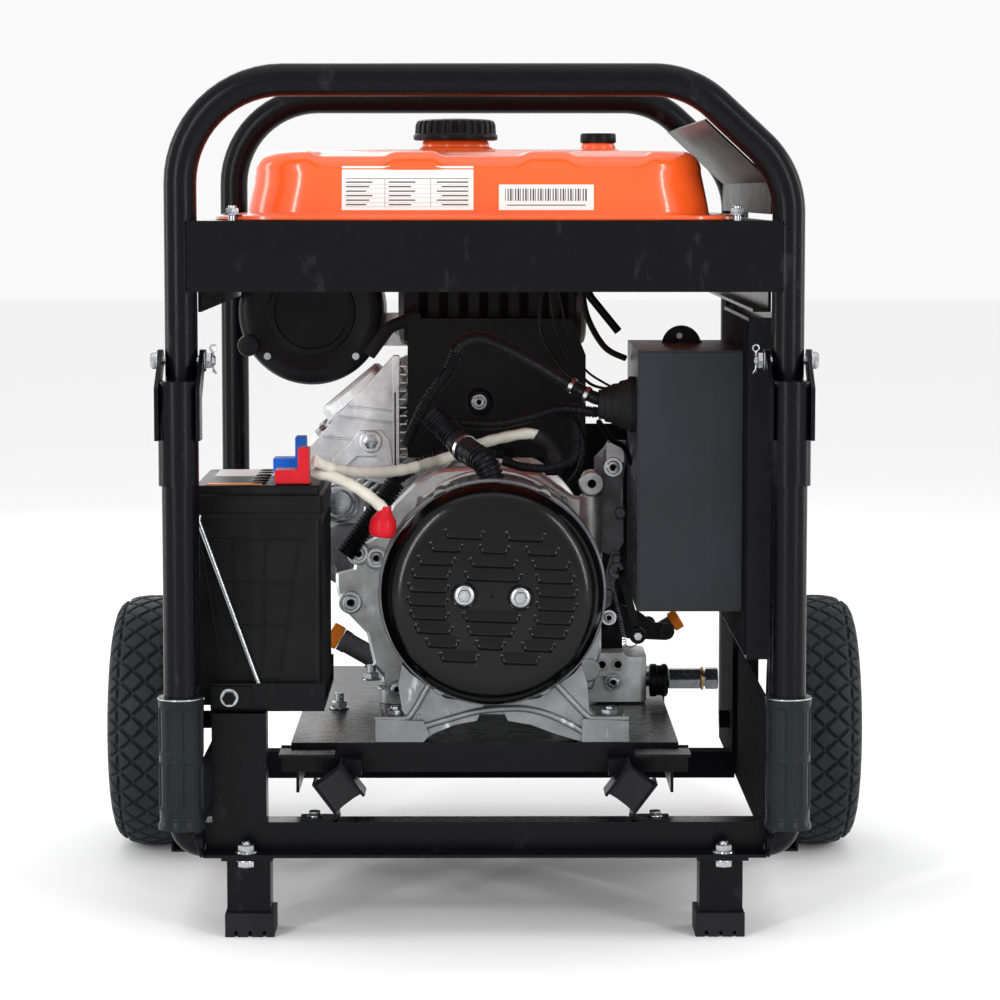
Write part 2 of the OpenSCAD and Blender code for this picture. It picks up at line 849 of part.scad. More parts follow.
module upper_socket_lid() {
    color(rubber_black) socket_lid(socket_z[1]);
}

module start_key() {
    color(steel) from_front() {
        rod_x([306.4, 314], 330, 540, 5);
        block([314, 330], [327, 333], [530, 550]);
    }
}

module breaker_toggle() {
    color(rubber_black) from_front() difference() {
        union() {
            rod_y(306, [226, 244], 540, 5);
            block([306, 319], [226, 244], [537, 543]);
        }
        rod_y(306, [220, 250], 540, 1.5 + running_gap);
    }
}

module fuel_tap_lever() {
    color(rubber_black) from_front() difference() {
        union() {
            rod_x([224.4, 230], 450, 690, 8);
            block([224.4, 228], [446, 482], [686, 694]);
        }
        rod_x([220, 232], 450, 690, 2 + running_gap);
    }
}

module stop_lever() {
    color(frame_black) from_front() difference() {
        union() {
            rod_y(140, [400.4, 404], 250, 9);
            translate([140, 400.4, 250]) rotate([0, -15, 0]) translate([0, 0, -5]) cube([42, 3.6, 10]);
            rod_y(181, [400.4, 404], 261, 8);
        }
        rod_y(140, [399, 406], 250, 3 + running_gap);
        rod_y(181, [399, 406], 261, 4);
    }
}

// ---- Wiring ----

boot_d = 170;

module cable_boot() {
    color(rubber_black) from_front() translate([155, boot_d, 519]) rotate([0, -90, 0])
        cylinder(h = 38, r1 = 29, r2 = 15);
}

// Conduits: loop over the alternator, lower run, sleeve to the windings, short lead, starter lead
loop_run = [[113, 170, 526], [90, 175, 538], [50, 185, 562], [14, 190, 580], [-8, 190, 586],
    [-26, 190, 578], [-38, 190, 552], [-60, 190, 520], [-82, 190, 474]];
lower_run = [[113, 170, 511], [78, 176, 514], [46, 178, 505], [10, 178, 498], [-28, 178, 500]];
winding_sleeve = [[-56, 148, 512], [-38, 146, 494], [-20, 130, 476], [2, 100, 468]];
short_lead = [[18, 150, 462], [40, 150, 456], [66, 150, 455], [92, 150, 466], [94, 150, 494]];
starter_lead = [[-150, 300, 350], [-122, 300, 388], [-95, 300, 428]];
elbow_lead = [[53, 190, 486], [67, 190, 476], [76, 190, 456]];

module harness() {
    color(rubber_black) from_front() {
        hose(loop_run, 7);
        hose(lower_run, 6);
        hose(winding_sleeve, 13, 10);
        hose(short_lead, 5);
        hose(starter_lead, 11, 10, 2);
        hose(elbow_lead, 8, 8, 2);
    }
}

// Sleeved battery leads from the terminals to the starter and to the alternator
starter_cable = [[-169, 58, 470], [-141, 90, 457], [-90, 150, 452], [-40, 188, 462],
    [0, 192, 478], [46, 191, 488]];
earth_cable = [[-171, 74, 456], [-150, 72, 452], [-125, 66, 440], [-104, 62, 424], [-98, 62, 413]];

module battery_cables() {
    color([0.85, 0.8, 0.7]) from_front() {
        hose(starter_cable, 5.5);
        hose(earth_cable, 5.5);
    }
    color("red") from_front() block([-114, -90], [50, 76], [393, 411]);
}

front_loop();
rear_loop();
front_base_rail();
base_rails();
wheel_brackets();
crossbars();
upper_side_rails();
side_sheets();
foot_columns();
foot_pads();
foot_bolts();
handle_pins();
battery_legs();
battery_tray();
battery();
battery_rod();
terminal_covers();
fuel_tank();
tank_bolts();
fuel_gauge();
cradle();
rubber_mounts();
alternator_cover();
alternator_bolts();
end_bell();
stator();
tail_bearing();
crankcase();
cylinder_block();
air_guide();
fan_shroud();
starter_motor();
air_cleaner();
muffler();
oil_filler();
control_box();
control_panel();
sockets();
cable_boot();
harness();
battery_cables();
left_handle_arm();
left_grip();
right_handle_arm();
right_grip();
left_tyre();
left_rim();
right_tyre();
right_rim();
rotor();
flywheel_fan();
fuel_cap();
oil_cap();
fuel_tap_lever();
stop_lever();
start_key();
breaker_toggle();
upper_socket_lid();
lower_socket_lid();
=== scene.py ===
"""Looks of the open-frame portable generator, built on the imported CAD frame."""
from math import cos, pi, radians, sin, sqrt, tan

import bmesh
import bpy
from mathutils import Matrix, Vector


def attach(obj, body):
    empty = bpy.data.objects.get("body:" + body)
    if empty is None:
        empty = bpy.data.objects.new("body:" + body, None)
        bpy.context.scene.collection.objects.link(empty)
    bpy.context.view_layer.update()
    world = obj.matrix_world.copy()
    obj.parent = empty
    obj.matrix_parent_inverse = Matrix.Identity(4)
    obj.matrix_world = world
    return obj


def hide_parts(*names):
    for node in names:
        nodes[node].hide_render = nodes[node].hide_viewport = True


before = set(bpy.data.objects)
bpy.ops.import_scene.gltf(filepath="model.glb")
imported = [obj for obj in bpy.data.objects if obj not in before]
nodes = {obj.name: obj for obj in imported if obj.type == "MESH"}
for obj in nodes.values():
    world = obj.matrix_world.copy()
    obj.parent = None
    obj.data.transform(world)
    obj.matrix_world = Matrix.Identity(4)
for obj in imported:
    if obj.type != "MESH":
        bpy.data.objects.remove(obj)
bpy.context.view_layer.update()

MM = 0.001
FRONT_Y = -322          # the front loop's centre plane, in the row frame
LOOP_GAP = 690          # front loop to rear loop
POST_X = 296
TUBE_R = 16
PIVOT_Z = 573
HANDLE_D = -39
AXLE_D, AXLE_Z, TYRE_R = 482, 141, 141
AXIS_X, AXIS_Z = 7.5, 335
SEAT_Z = 709
ENGINE_AXIS = (AXIS_X, 0, AXIS_Z)
UP, DOWN = (0, 0, 1), (0, 0, -1)
BACK, FRONT, RIGHT = (0, 1, 0), (0, -1, 0), (1, 0, 0)
CORNERS = ((-1, -1), (1, -1), (1, 1), (-1, 1))


def at(x, d, z):
    """Row-frame point in metres from millimetres: x, depth behind the front loop, z."""
    return Vector((x, d + FRONT_Y, z)) * MM


# ---------------------------------------------------------------- materials

def new_material(name, color, rough, metal=0.0, coat=0.0, gloss=0.5):
    material = bpy.data.materials.new(name)
    material.use_nodes = True
    shader = material.node_tree.nodes["Principled BSDF"]
    shader.inputs["Base Color"].default_value = (*color, 1)
    shader.inputs["Roughness"].default_value = rough
    shader.inputs["Metallic"].default_value = metal
    shader.inputs["Specular IOR Level"].default_value = gloss
    shader.inputs["Coat Weight"].default_value = coat
    shader.inputs["Coat Roughness"].default_value = 0.12
    return material


def noise_node(material, scale, detail=6.0, stretch=(1, 1, 1)):
    tree = material.node_tree
    coords = tree.nodes.new("ShaderNodeTexCoord")
    mapping = tree.nodes.new("ShaderNodeMapping")
    mapping.inputs["Scale"].default_value = stretch
    noise = tree.nodes.new("ShaderNodeTexNoise")
    noise.inputs["Scale"].default_value = scale
    noise.inputs["Detail"].default_value = detail
    noise.inputs["Roughness"].default_value = 0.6
    tree.links.new(coords.outputs["Object"], mapping.inputs["Vector"])
    tree.links.new(mapping.outputs["Vector"], noise.inputs["Vector"])
    return noise.outputs["Fac"]


def map_range(material, value, low, high, start=0.3, end=0.7):
    tree = material.node_tree
    node = tree.nodes.new("ShaderNodeMapRange")
    node.inputs["From Min"].default_value = start
    node.inputs["From Max"].default_value = end
    node.inputs["To Min"].default_value = low
    node.inputs["To Max"].default_value = high
    tree.links.new(value, node.inputs["Value"])
    return node.outputs["Result"]


def mix_color(material, factor, first, second):
    tree = material.node_tree
    node = tree.nodes.new("ShaderNodeMix")
    node.data_type = "RGBA"
    for socket, value in ((node.inputs[6], first), (node.inputs[7], second)):
        if isinstance(value, tuple):
            socket.default_value = (*value, 1)
        else:
            tree.links.new(value, socket)
    tree.links.new(factor, node.inputs[0])
    return node.outputs[2]


def set_input(material, name, output):
    shader = material.node_tree.nodes["Principled BSDF"]
    material.node_tree.links.new(output, shader.inputs[name])


def add_bump(material, height, strength, distance):
    tree = material.node_tree
    shader = tree.nodes["Principled BSDF"]
    bump = tree.nodes.new("ShaderNodeBump")
    bump.inputs["Strength"].default_value = strength
    bump.inputs["Distance"].default_value = distance
    tree.links.new(height, bump.inputs["Height"])
    if shader.inputs["Normal"].is_linked:
        tree.links.new(shader.inputs["Normal"].links[0].from_socket, bump.inputs["Normal"])
    tree.links.new(bump.outputs["Normal"], shader.inputs["Normal"])


def scuffed(material, color, amount, tint):
    """Sparse rubbed spots and short scratches, as handling leaves them."""
    spots = map_range(material, noise_node(material, 46, 9, (1, 1, 0.4)), 0.0, amount, 0.62, 0.74)
    return mix_color(material, spots, color, tint)


def painted(name, color, rough, coat=0.0, peel=0.25, tint=(0.03, 0.03, 0.032), gloss=0.25):
    """Sprayed paint or powder coat: orange-peel skin, uneven gloss, a few rubbed spots."""
    material = new_material(name, color, rough, 0.0, coat, gloss)
    darker = tuple(c * 0.72 for c in color)
    tone = mix_color(material, map_range(material, noise_node(material, 9), 0, 1), darker, color)
    set_input(material, "Base Color", scuffed(material, tone, 0.5, tint))
    set_input(material, "Roughness",
              map_range(material, noise_node(material, 60), rough * 0.9, min(rough * 1.2, 1)))
    add_bump(material, noise_node(material, 520, 3), peel, 0.0004)
    return material


def cast_metal(name, color, rough, grain=420, depth=0.5):
    """Die-cast alloy: sandy skin, stained patches, brighter high spots."""
    material = new_material(name, color, rough, 0.85)
    stained = tuple(c * 0.55 for c in color)
    tone = mix_color(material, map_range(material, noise_node(material, 26), 0, 1), stained, color)
    set_input(material, "Base Color", scuffed(material, tone, 0.7, (0.9, 0.9, 0.9)))
    set_input(material, "Roughness", map_range(material, noise_node(material, 45), rough * 0.8, rough * 1.4))
    add_bump(material, noise_node(material, grain, 8), depth, 0.0006)
    return material


def plated_steel(name, color, rough=0.22, stretch=(1, 1, 14)):
    """Zinc-plated or turned steel: fine directional scratches and cloudy plating."""
    material = new_material(name, color, rough, 1.0)
    cloudy = tuple(c * 0.7 for c in color)
    set_input(material, "Base Color",
              mix_color(material, map_range(material, noise_node(material, 70), 0, 1), cloudy, color))
    scratches = noise_node(material, 300, 4, stretch)
    set_input(material, "Roughness", map_range(material, scratches, rough * 0.6, rough * 1.8))
    add_bump(material, scratches, 0.12, 0.0002)
    return material


def moulded(name, color, rough, grain=700, depth=0.3, tint=None):
    """Moulded rubber or plastic: fine grain, dusty patches, scuffed edges."""
    material = new_material(name, color, rough, gloss=0.1)
    dusty = tint or tuple(min(c * 1.3 + 0.005, 1) for c in color)
    tone = mix_color(material, map_range(material, noise_node(material, 14), 0, 0.8), color, dusty)
    set_input(material, "Base Color", scuffed(material, tone, 0.4, dusty))
    set_input(material, "Roughness", map_range(material, noise_node(material, 50), rough * 0.85,
                                               min(rough * 1.2, 1)))
    add_bump(material, noise_node(material, grain, 4), depth, 0.0003)
    return material


def braided(name, color):
    """Woven glass sleeve: two crossed sets of bands, painted shade in the low parts between them, and dirty
    patches.
    """
    material = new_material(name, color, 0.85)
    tree = material.node_tree
    coords = tree.nodes.new("ShaderNodeTexCoord")
    heights = []
    for turn in (0.7, -0.7):
        mapping = tree.nodes.new("ShaderNodeMapping")
        mapping.inputs["Rotation"].default_value = (turn, turn, 0)
        wave = tree.nodes.new("ShaderNodeTexWave")
        wave.inputs["Scale"].default_value = 260
        tree.links.new(coords.outputs["Object"], mapping.inputs["Vector"])
        tree.links.new(mapping.outputs["Vector"], wave.inputs["Vector"])
        heights.append(wave.outputs["Fac"])
    both = tree.nodes.new("ShaderNodeMath")
    both.operation = "MAXIMUM"
    tree.links.new(heights[0], both.inputs[0])
    tree.links.new(heights[1], both.inputs[1])
    # Dark tone of the weave: painted shade between the raised bands, and also the colour of the dirty
    # patches.
    soil_and_shade = tuple(c * 0.5 for c in color)
    weave = mix_color(material, both.outputs[0], soil_and_shade, color)
    set_input(material, "Base Color",
              mix_color(material, map_range(material, noise_node(material, 40), 0, 0.5), weave, soil_and_shade))
    add_bump(material, both.outputs[0], 0.5, 0.0008)
    return material


PAINT = painted("black_powder_coat", (0.0025, 0.0025, 0.0035), 0.26, gloss=0.12)
SHEET = painted("black_satin_sheet", (0.004, 0.004, 0.005), 0.34, gloss=0.14)
# Copy of the black sheet paint without reflections, for low and inner sheets: painted shade, so they stay as
# dark as sheets in shade.
SHADE_SHEET = painted("black_sheet_painted_shade", (0.009, 0.009, 0.011), 0.8, gloss=0.02)
BOX = painted("control_box_paint", (0.026, 0.028, 0.036), 0.34, gloss=0.2)
COVER = painted("black_cover_paint", (0.0015, 0.0015, 0.0015), 0.16, 0.0, 0.05, gloss=0.22)
RED = painted("red_enamel", (0.94, 0.115, 0.018), 0.22, 0.5, 0.06, (0.92, 0.10, 0.03), 0.25)
GREY = painted("grey_panel_paint", (0.28, 0.28, 0.31), 0.42, 0.0, 0.2, (0.36, 0.36, 0.38), 0.5)
ALLOY = cast_metal("cast_alloy", (0.86, 0.87, 0.88), 0.42)
BELL = cast_metal("bell_cast_alloy", (0.24, 0.25, 0.26), 0.40)
DARK_ALLOY = cast_metal("dark_cast_alloy", (0.20, 0.20, 0.21), 0.5)
ZINC = plated_steel("zinc_steel", (0.48, 0.49, 0.52))
BRASS = plated_steel("brass", (0.78, 0.58, 0.24))
HOT_STEEL = cast_metal("heat_stained_steel", (0.10, 0.095, 0.09), 0.55, 160, 0.3)
RUBBER = moulded("black_rubber", (0.010, 0.010, 0.011), 0.55)
TYRE = moulded("tyre_rubber", (0.017, 0.018, 0.021), 0.5, 380, 0.4)
GRIP = moulded("grip_rubber", (0.008, 0.011, 0.011), 0.30, 500, 0.2, (0.014, 0.018, 0.018))
PLASTIC = moulded("black_plastic", (0.004, 0.004, 0.005), 0.32, 600, 0.15)
BATTERY = moulded("battery_plastic", (0.003, 0.003, 0.0035), 0.34, 350, 0.3)
ORANGE = moulded("orange_plastic", (0.90, 0.22, 0.01), 0.35, 600, 0.1, (0.95, 0.32, 0.05))
RED_PLASTIC = moulded("red_plastic", (0.45, 0.004, 0.012), 0.26, 600, 0.1, (0.55, 0.02, 0.03))
BLUE_PLASTIC = moulded("blue_plastic", (0.010, 0.12, 0.62), 0.35, 600, 0.1, (0.05, 0.2, 0.7))
TAPE = moulded("wrapping_tape", (0.007, 0.007, 0.008), 0.24, 180, 0.4)
SLEEVE = braided("beige_braid", (0.80, 0.77, 0.68))
LABEL = moulded("label_film", (0.72, 0.72, 0.70), 0.42, 900, 0.05, (0.66, 0.66, 0.63))
PRINT = moulded("label_print", (0.05, 0.05, 0.06), 0.5, 900, 0.05)
# Near-black patches laid in holes, slits and gaps: painted shade in place of the shade inside the openings.
SHADOW_SLOT = moulded("shadow_slot", (0.002, 0.002, 0.002), 0.9, 300, 0.1, (0.003, 0.003, 0.003))


# ---------------------------------------------------------------- mesh helpers

class Shape:
    """Closed shells in one mesh; each face takes the material in use when it is added."""

    def __init__(self, material):
        self.bm = bmesh.new()
        self.materials = [material]
        self.index = 0

    def use(self, material):
        if material not in self.materials:
            self.materials.append(material)
        self.index = self.materials.index(material)
        return self

    def loft(self, rings, loop=False):
        """Skins rings of equal length; a loop joins the last ring to the first, else both ends are capped."""
        rows = [[self.bm.verts.new(at(*p)) for p in ring] for ring in rings]
        count = len(rows[0])
        pairs = list(zip(rows, rows[1:])) + ([(rows[-1], rows[0])] if loop else [])
        faces = [self.bm.faces.new((a[k], a[(k + 1) % count], b[(k + 1) % count], b[k]))
                 for a, b in pairs for k in range(count)]
        if not loop:
            faces += [self.bm.faces.new(rows[0][::-1]), self.bm.faces.new(rows[-1])]
        for face in faces:
            face.material_index = self.index
            face.smooth = True
        return self

    def block(self, x, d, z):
        corners = ((x[0], d[0]), (x[1], d[0]), (x[1], d[1]), (x[0], d[1]))
        return self.loft([[(a, b, c) for a, b in corners] for c in z])

    def prism(self, outline, low, high, axis="d"):
        """Extrudes an outline: (x, z) along d, (x, d) along z or (d, z) along x."""
        place = {"d": lambda a, b, c: (a, c, b), "z": lambda a, b, c: (a, b, c),
                 "x": lambda a, b, c: (c, a, b)}
        return self.loft([[place[axis](a, b, c) for a, b in outline] for c in (low, high)])

    def turned(self, profile, origin, axis=UP, sides=48, wobble=None, turn=0.0):
        """Solid of revolution: profile is (radius, height along axis), without points on the axis."""
        u, v, w = directions(axis)
        o = Vector(origin)
        rings = []
        for r, h in profile:
            ring = []
            for k in range(sides):
                a = 2 * pi * k / sides + turn
                radius = r + (wobble(a, h) if wobble else 0)
                ring.append(o + w * h + (u * cos(a) + v * sin(a)) * radius)
            rings.append(ring)
        return self.loft(rings)

    def stack(self, origin, axis, *parts):
        """Turned parts on one axis, each a profile with its number of sides."""
        for profile, sides in parts:
            self.turned(profile, origin, axis, sides)
        return self

    def hollow(self, profile, origin, axis=UP, sides=48, wobble=None):
        """Ring of revolution from a closed profile that stays off the axis."""
        u, v, w = directions(axis)
        o = Vector(origin)
        rings = []
        for k in range(sides):
            a = 2 * pi * k / sides
            out = u * cos(a) + v * sin(a)
            rings.append([o + w * h + out * (r + (wobble(a, r, h) if wobble else 0)) for r, h in profile])
        return self.loft(rings, loop=True)

    def sweep(self, path, radius, sides=24):
        """Tube along points; radius is a number or a function of the length so far."""
        path = [Vector(p) for p in path]
        last = len(path) - 1
        normal = None
        rings, run = [], 0.0
        for k, point in enumerate(path):
            tangent = (path[min(k + 1, last)] - path[max(k - 1, 0)]).normalized()
            if normal is None:
                normal = tangent.orthogonal().normalized()
            normal = (normal - tangent * normal.dot(tangent)).normalized()
            side = tangent.cross(normal)
            if k:
                run += (point - path[k - 1]).length
            r = radius(run) if callable(radius) else radius
            rings.append([point + (normal * cos(2 * pi * s / sides) + side * sin(2 * pi * s / sides)) * r
                          for s in range(sides)])
        return self.loft(rings)

    def bolt(self, origin, axis, r, washer=True, stud=0.0, material=None):
        """Hex head or nut with a chamfered top on a washer; r is the thread radius."""
        keep = self.index
        self.use(material or ZINC)
        if washer:
            self.turned([(2.15 * r, 0), (2.2 * r, 0.5), (2.1 * r, 1.5)], origin, axis, 28)
        high = 1.5 + 1.3 * r
        self.turned([(1.8 * r, 1.3), (1.85 * r, 1.6), (1.85 * r, high - 0.8), (1.5 * r, high)], origin,
                    axis, 6)
        if stud:
            self.turned([(r, high - 1), (r, high + stud - 0.6), (0.8 * r, high + stud)], origin, axis, 20)
        self.index = keep
        return self

    def weld(self, path, r=2.4):
        """Rippled weld bead along points."""
        fine = densify(path, 0.9)
        return self.sweep(fine, lambda run: r * (0.8 + 0.3 * abs(sin(run * 1.15))), 10)

    def piece(self, name, body, instead=(), bevel=0.0, segments=2, sharp=38, subdivide=0):
        bmesh.ops.recalc_face_normals(self.bm, faces=self.bm.faces)
        mesh = bpy.data.meshes.new(name)
        self.bm.to_mesh(mesh)
        self.bm.free()
        for material in self.materials:
            mesh.materials.append(material)
        mesh.set_sharp_from_angle(angle=radians(180 if bevel else sharp))
        obj = bpy.data.objects.new(name, mesh)
        bpy.context.scene.collection.objects.link(obj)
        if bevel:
            add_bevel(obj, bevel, segments)
        if subdivide:
            obj.modifiers.new("Smooth", "SUBSURF").levels = subdivide
            obj.modifiers["Smooth"].render_levels = subdivide
        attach(obj, body)
        if instead:
            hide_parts(*instead)
        return obj


def add_bevel(obj, width, segments=2, angle=35):
    bevel = obj.modifiers.new("Bevel", "BEVEL")
    bevel.width = width * MM
    bevel.segments = segments
    bevel.limit_method = "ANGLE"
    bevel.angle_limit = radians(angle)
    bevel.harden_normals = True


def directions(axis):
    w = Vector(axis).normalized()
    reference = Vector(UP) if abs(w.z) < 0.9 else Vector(RIGHT)
    u = reference.cross(w).normalized()
    return u, w.cross(u), w


def densify(path, step):
    path = [Vector(p) for p in path]
    fine = [path[0]]
    for a, b in zip(path, path[1:]):
        count = max(1, int((b - a).length / step))
        fine += [a.lerp(b, (k + 1) / count) for k in range(count)]
    return fine


def spline(points, step=2.0):
    """Smooth line through points (Catmull-Rom), about one point every step."""
    p = [Vector(q) for q in points]
    fine = []
    for i in range(len(p) - 1):
        a, b, c, d = p[max(i - 1, 0)], p[i], p[i + 1], p[min(i + 2, len(p) - 1)]
        count = max(2, int((c - b).length / step))
        for k in range(count):
            t = k / count
            fine.append(0.5 * (2 * b + (c - a) * t + (2 * a - 5 * b + 4 * c - d) * t ** 2
                               + (3 * b - a - 3 * c + d) * t ** 3))
    return fine + [p[-1]]


def rounded_path(corners, radii, steps=14):
    """Points along corners (x, d, z), each inner corner rounded at its own radius."""
    p = [Vector(c) for c in corners]
    path = [p[0]]
    for i in range(1, len(p) - 1):
        u, v = (p[i - 1] - p[i]).normalized(), (p[i + 1] - p[i]).normalized()
        half = u.angle(v) / 2
        cut = radii[i - 1] / tan(half)
        centre = p[i] + (u + v).normalized() * radii[i - 1] / sin(half)
        start, end = p[i] + u * cut - centre, p[i] + v * cut - centre
        total = start.angle(end)
        for k in range(steps + 1):
            t = k / steps
            path.append(centre + (start * sin((1 - t) * total) + end * sin(t * total)) / sin(total))
    return path + [p[-1]]


def rounded_rectangle(x, d, r, z, steps=10):
    """Ring of points round a rectangle with corner radius r."""
    ring = []
    for cx, cd, start in ((x[1] - r, d[1] - r, 0), (x[0] + r, d[1] - r, 90), (x[0] + r, d[0] + r, 180),
                          (x[1] - r, d[0] + r, 270)):
        for k in range(steps + 1):
            a = radians(start + 90 * k / steps)
            ring.append((cx + r * cos(a), cd + r * sin(a), z))
    return ring


def on_axis_point(a, r):
    """(x, z) at radius r from the engine's axis, a degrees round from the right."""
    return AXIS_X + cos(radians(a)) * r, AXIS_Z + sin(radians(a)) * r


def spoke(a, inner, outer, depths):
    """Bar that points away from the engine's axis; inner and outer are (radius, half width)."""
    c, s = cos(radians(a)), sin(radians(a))
    (r0, w0), (r1, w1) = inner, outer
    corners = ((r0, -w0), (r1, -w1), (r1, w1), (r0, w0))
    return [[(AXIS_X + c * r - s * w, d, AXIS_Z + s * r + c * w) for r, w in corners] for d in depths]


def stacked(outline, levels):
    """The same outline at each of the levels."""
    return [[(x, d, z) for x, d, _ in outline] for z in levels]


def scaled(outline, layers, place):
    """The outline shrunk about its middle, one ring per (scale, height), each point set by place."""
    return [[place(x * s, d * s, height) for x, d, _ in outline] for s, height in layers]


def ease(value, low, high):
    """Smooth step from 0 at low to 1 at high."""
    t = min(max((value - low) / (high - low), 0.0), 1.0)
    return t * t * (3 - 2 * t)


def keep_cad(node, material, bevel=0.8):
    """A CAD node whose shape is right: bevelled edges and a finished material."""
    obj = nodes[node]
    obj.data.materials.clear()
    obj.data.materials.append(material)
    for polygon in obj.data.polygons:
        polygon.use_smooth = True
    obj.data.set_sharp_from_angle(angle=radians(180 if bevel else 35))
    if bevel:
        add_bevel(obj, bevel)


# ---------------------------------------------------------------- frame

def loop_corners(d, foot):
    bottom = [(-POST_X, d, 113)] if foot is None else [(-POST_X + foot, d, 98), (-POST_X, d, 98)]
    end = [(POST_X, d, 113)] if foot is None else [(POST_X, d, 98), (POST_X - foot, d, 98)]
    return bottom + [(-POST_X, d, 845), (199, d, 845), (POST_X, d, 755)] + end


def make_loops():
    shape = Shape(PAINT)
    shape.sweep(rounded_path(loop_corners(0, 18), [17.5, 100, 90, 90, 17.5]), TUBE_R, 40)
    for side in (-1, 1):
        shape.weld([(side * 289, -16, 643), (side * 286, -13.5, 645), (side * 286, -13.5, 704),
                    (side * 289, -16, 707)])
        shape.weld([(side * (279 + 9 * k / 8), -15, 84 + 24 * k / 8) for k in range(9)], 2.0)
    shape.piece("front_loop_tube", "frame", ("front_loop",))
    shape = Shape(PAINT)
    shape.sweep(rounded_path(loop_corners(LOOP_GAP, None), [100, 90, 90]), TUBE_R, 40)
    for side in (-1, 1):
        angles = [pi * k / 12 for k in range(25)]
        shape.weld([(side * POST_X + 14 * cos(a), LOOP_GAP + 14 * sin(a), 114) for a in angles], 1.8)
    shape.piece("rear_loop_tube", "frame", ("rear_loop",))


def make_frame_sheets():
    for node in ("front_base_rail", "crossbars", "upper_side_rails", "foot_columns", "battery_legs",
                 "cradle"):
        keep_cad(node, PAINT)
    # The base rails and wheel brackets take the non-reflecting copy of the sheet paint: painted shade.
    keep_cad("base_rails", SHADE_SHEET)
    keep_cad("wheel_brackets", SHADE_SHEET)
    keep_cad("side_sheets", SHEET, 0.5)
    # Faces of the side sheets below 0.5 m take the non-reflecting copy: painted shade on the lower part of
    # one sheet, while the upper part keeps its reflections.
    sheets = nodes["side_sheets"]
    sheets.data.materials.append(SHADE_SHEET)
    for polygon in sheets.data.polygons:
        polygon.material_index = 1 if (sheets.matrix_world @ polygon.center).z < 0.5 else 0
    # Rear skirt plate in the non-reflecting copy of the sheet paint: painted shade.
    shape = Shape(SHADE_SHEET)
    shape.block((282.2, 283.8), (430, 670), (99, 231))
    shape.block((283.8, 286.5), (640, 668), (226, 231))
    shape.piece("rear_skirt_sheet", "frame", (), 0.4)
    for side in ("left", "right"):
        keep_cad(side + "_handle_arm", PAINT, 0.7)


def make_foot_pads():
    shape = Shape(RUBBER)
    for side in (-1, 1):
        x = sorted((side * 209, side * 258))
        outline = [(x[0], 24), (x[0], 0)]
        for groove in (x[0] + 9, x[0] + 23, x[0] + 37):
            outline += [(groove, 0), (groove + 0.8, 6), (groove + 3.2, 6), (groove + 4, 0)]
        outline += [(x[1], 0), (x[1], 24)]
        shape.prism(outline, 0, 54)
    shape.piece("ribbed_foot_pads", "frame", ("foot_pads",), 0.7)


def make_foot_bolts():
    shape = Shape(ZINC)
    for side in (-1, 1):
        x = side * 236
        teeth = 24
        shape.turned([(10.4, 0.1), (10.8, 0.8), (10, 2.2), (8.6, 2.6)], (x, -5.5, 86), UP, teeth * 2,
                     lambda a, h: 0.35 * cos(a * teeth))
        shape.stack((x, -5.5, 86), UP, ([(8.6, 2), (8.8, 3), (8.8, 8), (7.4, 9)], 6),
                    ([(4.9, 8), (4.9, 11), (4, 12)], 20))
        shape.stack((x, -5.5, 80), DOWN, ([(10.6, 0), (10.8, 1), (9.5, 1.6)], 28),
                    ([(8.6, 1.4), (8.8, 2), (8.8, 7), (7.4, 8)], 6))
    shape.piece("foot_bolt_set", "frame", ("foot_bolts",), 0.0, sharp=25)


def make_handle_pins():
    shape = Shape(ZINC)
    for side in (-1, 1):
        o, axis = (side * POST_X, 0, PIVOT_Z), (side, 0, 0)
        shape.stack(o, axis, ([(4.2, -33), (5, -32), (5, 27)], 28),
                    ([(8.3, 24), (8.5, 24.6), (8.5, 28), (7.2, 30)], 28))
        for start in (22.4, -24):
            shape.turned([(10.6, start), (11, start + 0.4), (11, start + 1.2), (10.6, start + 1.6)], o,
                         axis, 32)
        shape.turned([(7.8, -24.2), (8.5, -24.9), (8.5, -29), (7.4, -30)], o, axis, 6)
        x = side * (POST_X - 31)
        eye = [(x + 3 * cos(radians(a)), 0.8, PIVOT_Z + 12 + 3 * sin(radians(a)))
               for a in range(-60, 250, 15)]
        shape.sweep([(x, 0.8, PIVOT_Z - 12), (x, 0.8, PIVOT_Z + 8)] + eye + [(x, 0.8, PIVOT_Z + 7)], 0.9, 10)
        leg = [(x, -0.9, PIVOT_Z + 7), (x, -0.9, PIVOT_Z - 8), (x - side * 3, -2, PIVOT_Z - 13)]
        shape.sweep(leg, 0.9, 10)
    shape.piece("handle_pivot_pins", "frame", ("handle_pins",), 0.0, sharp=25)


WIRE_R = 22.1          # wire ring that clamps the top of each grip


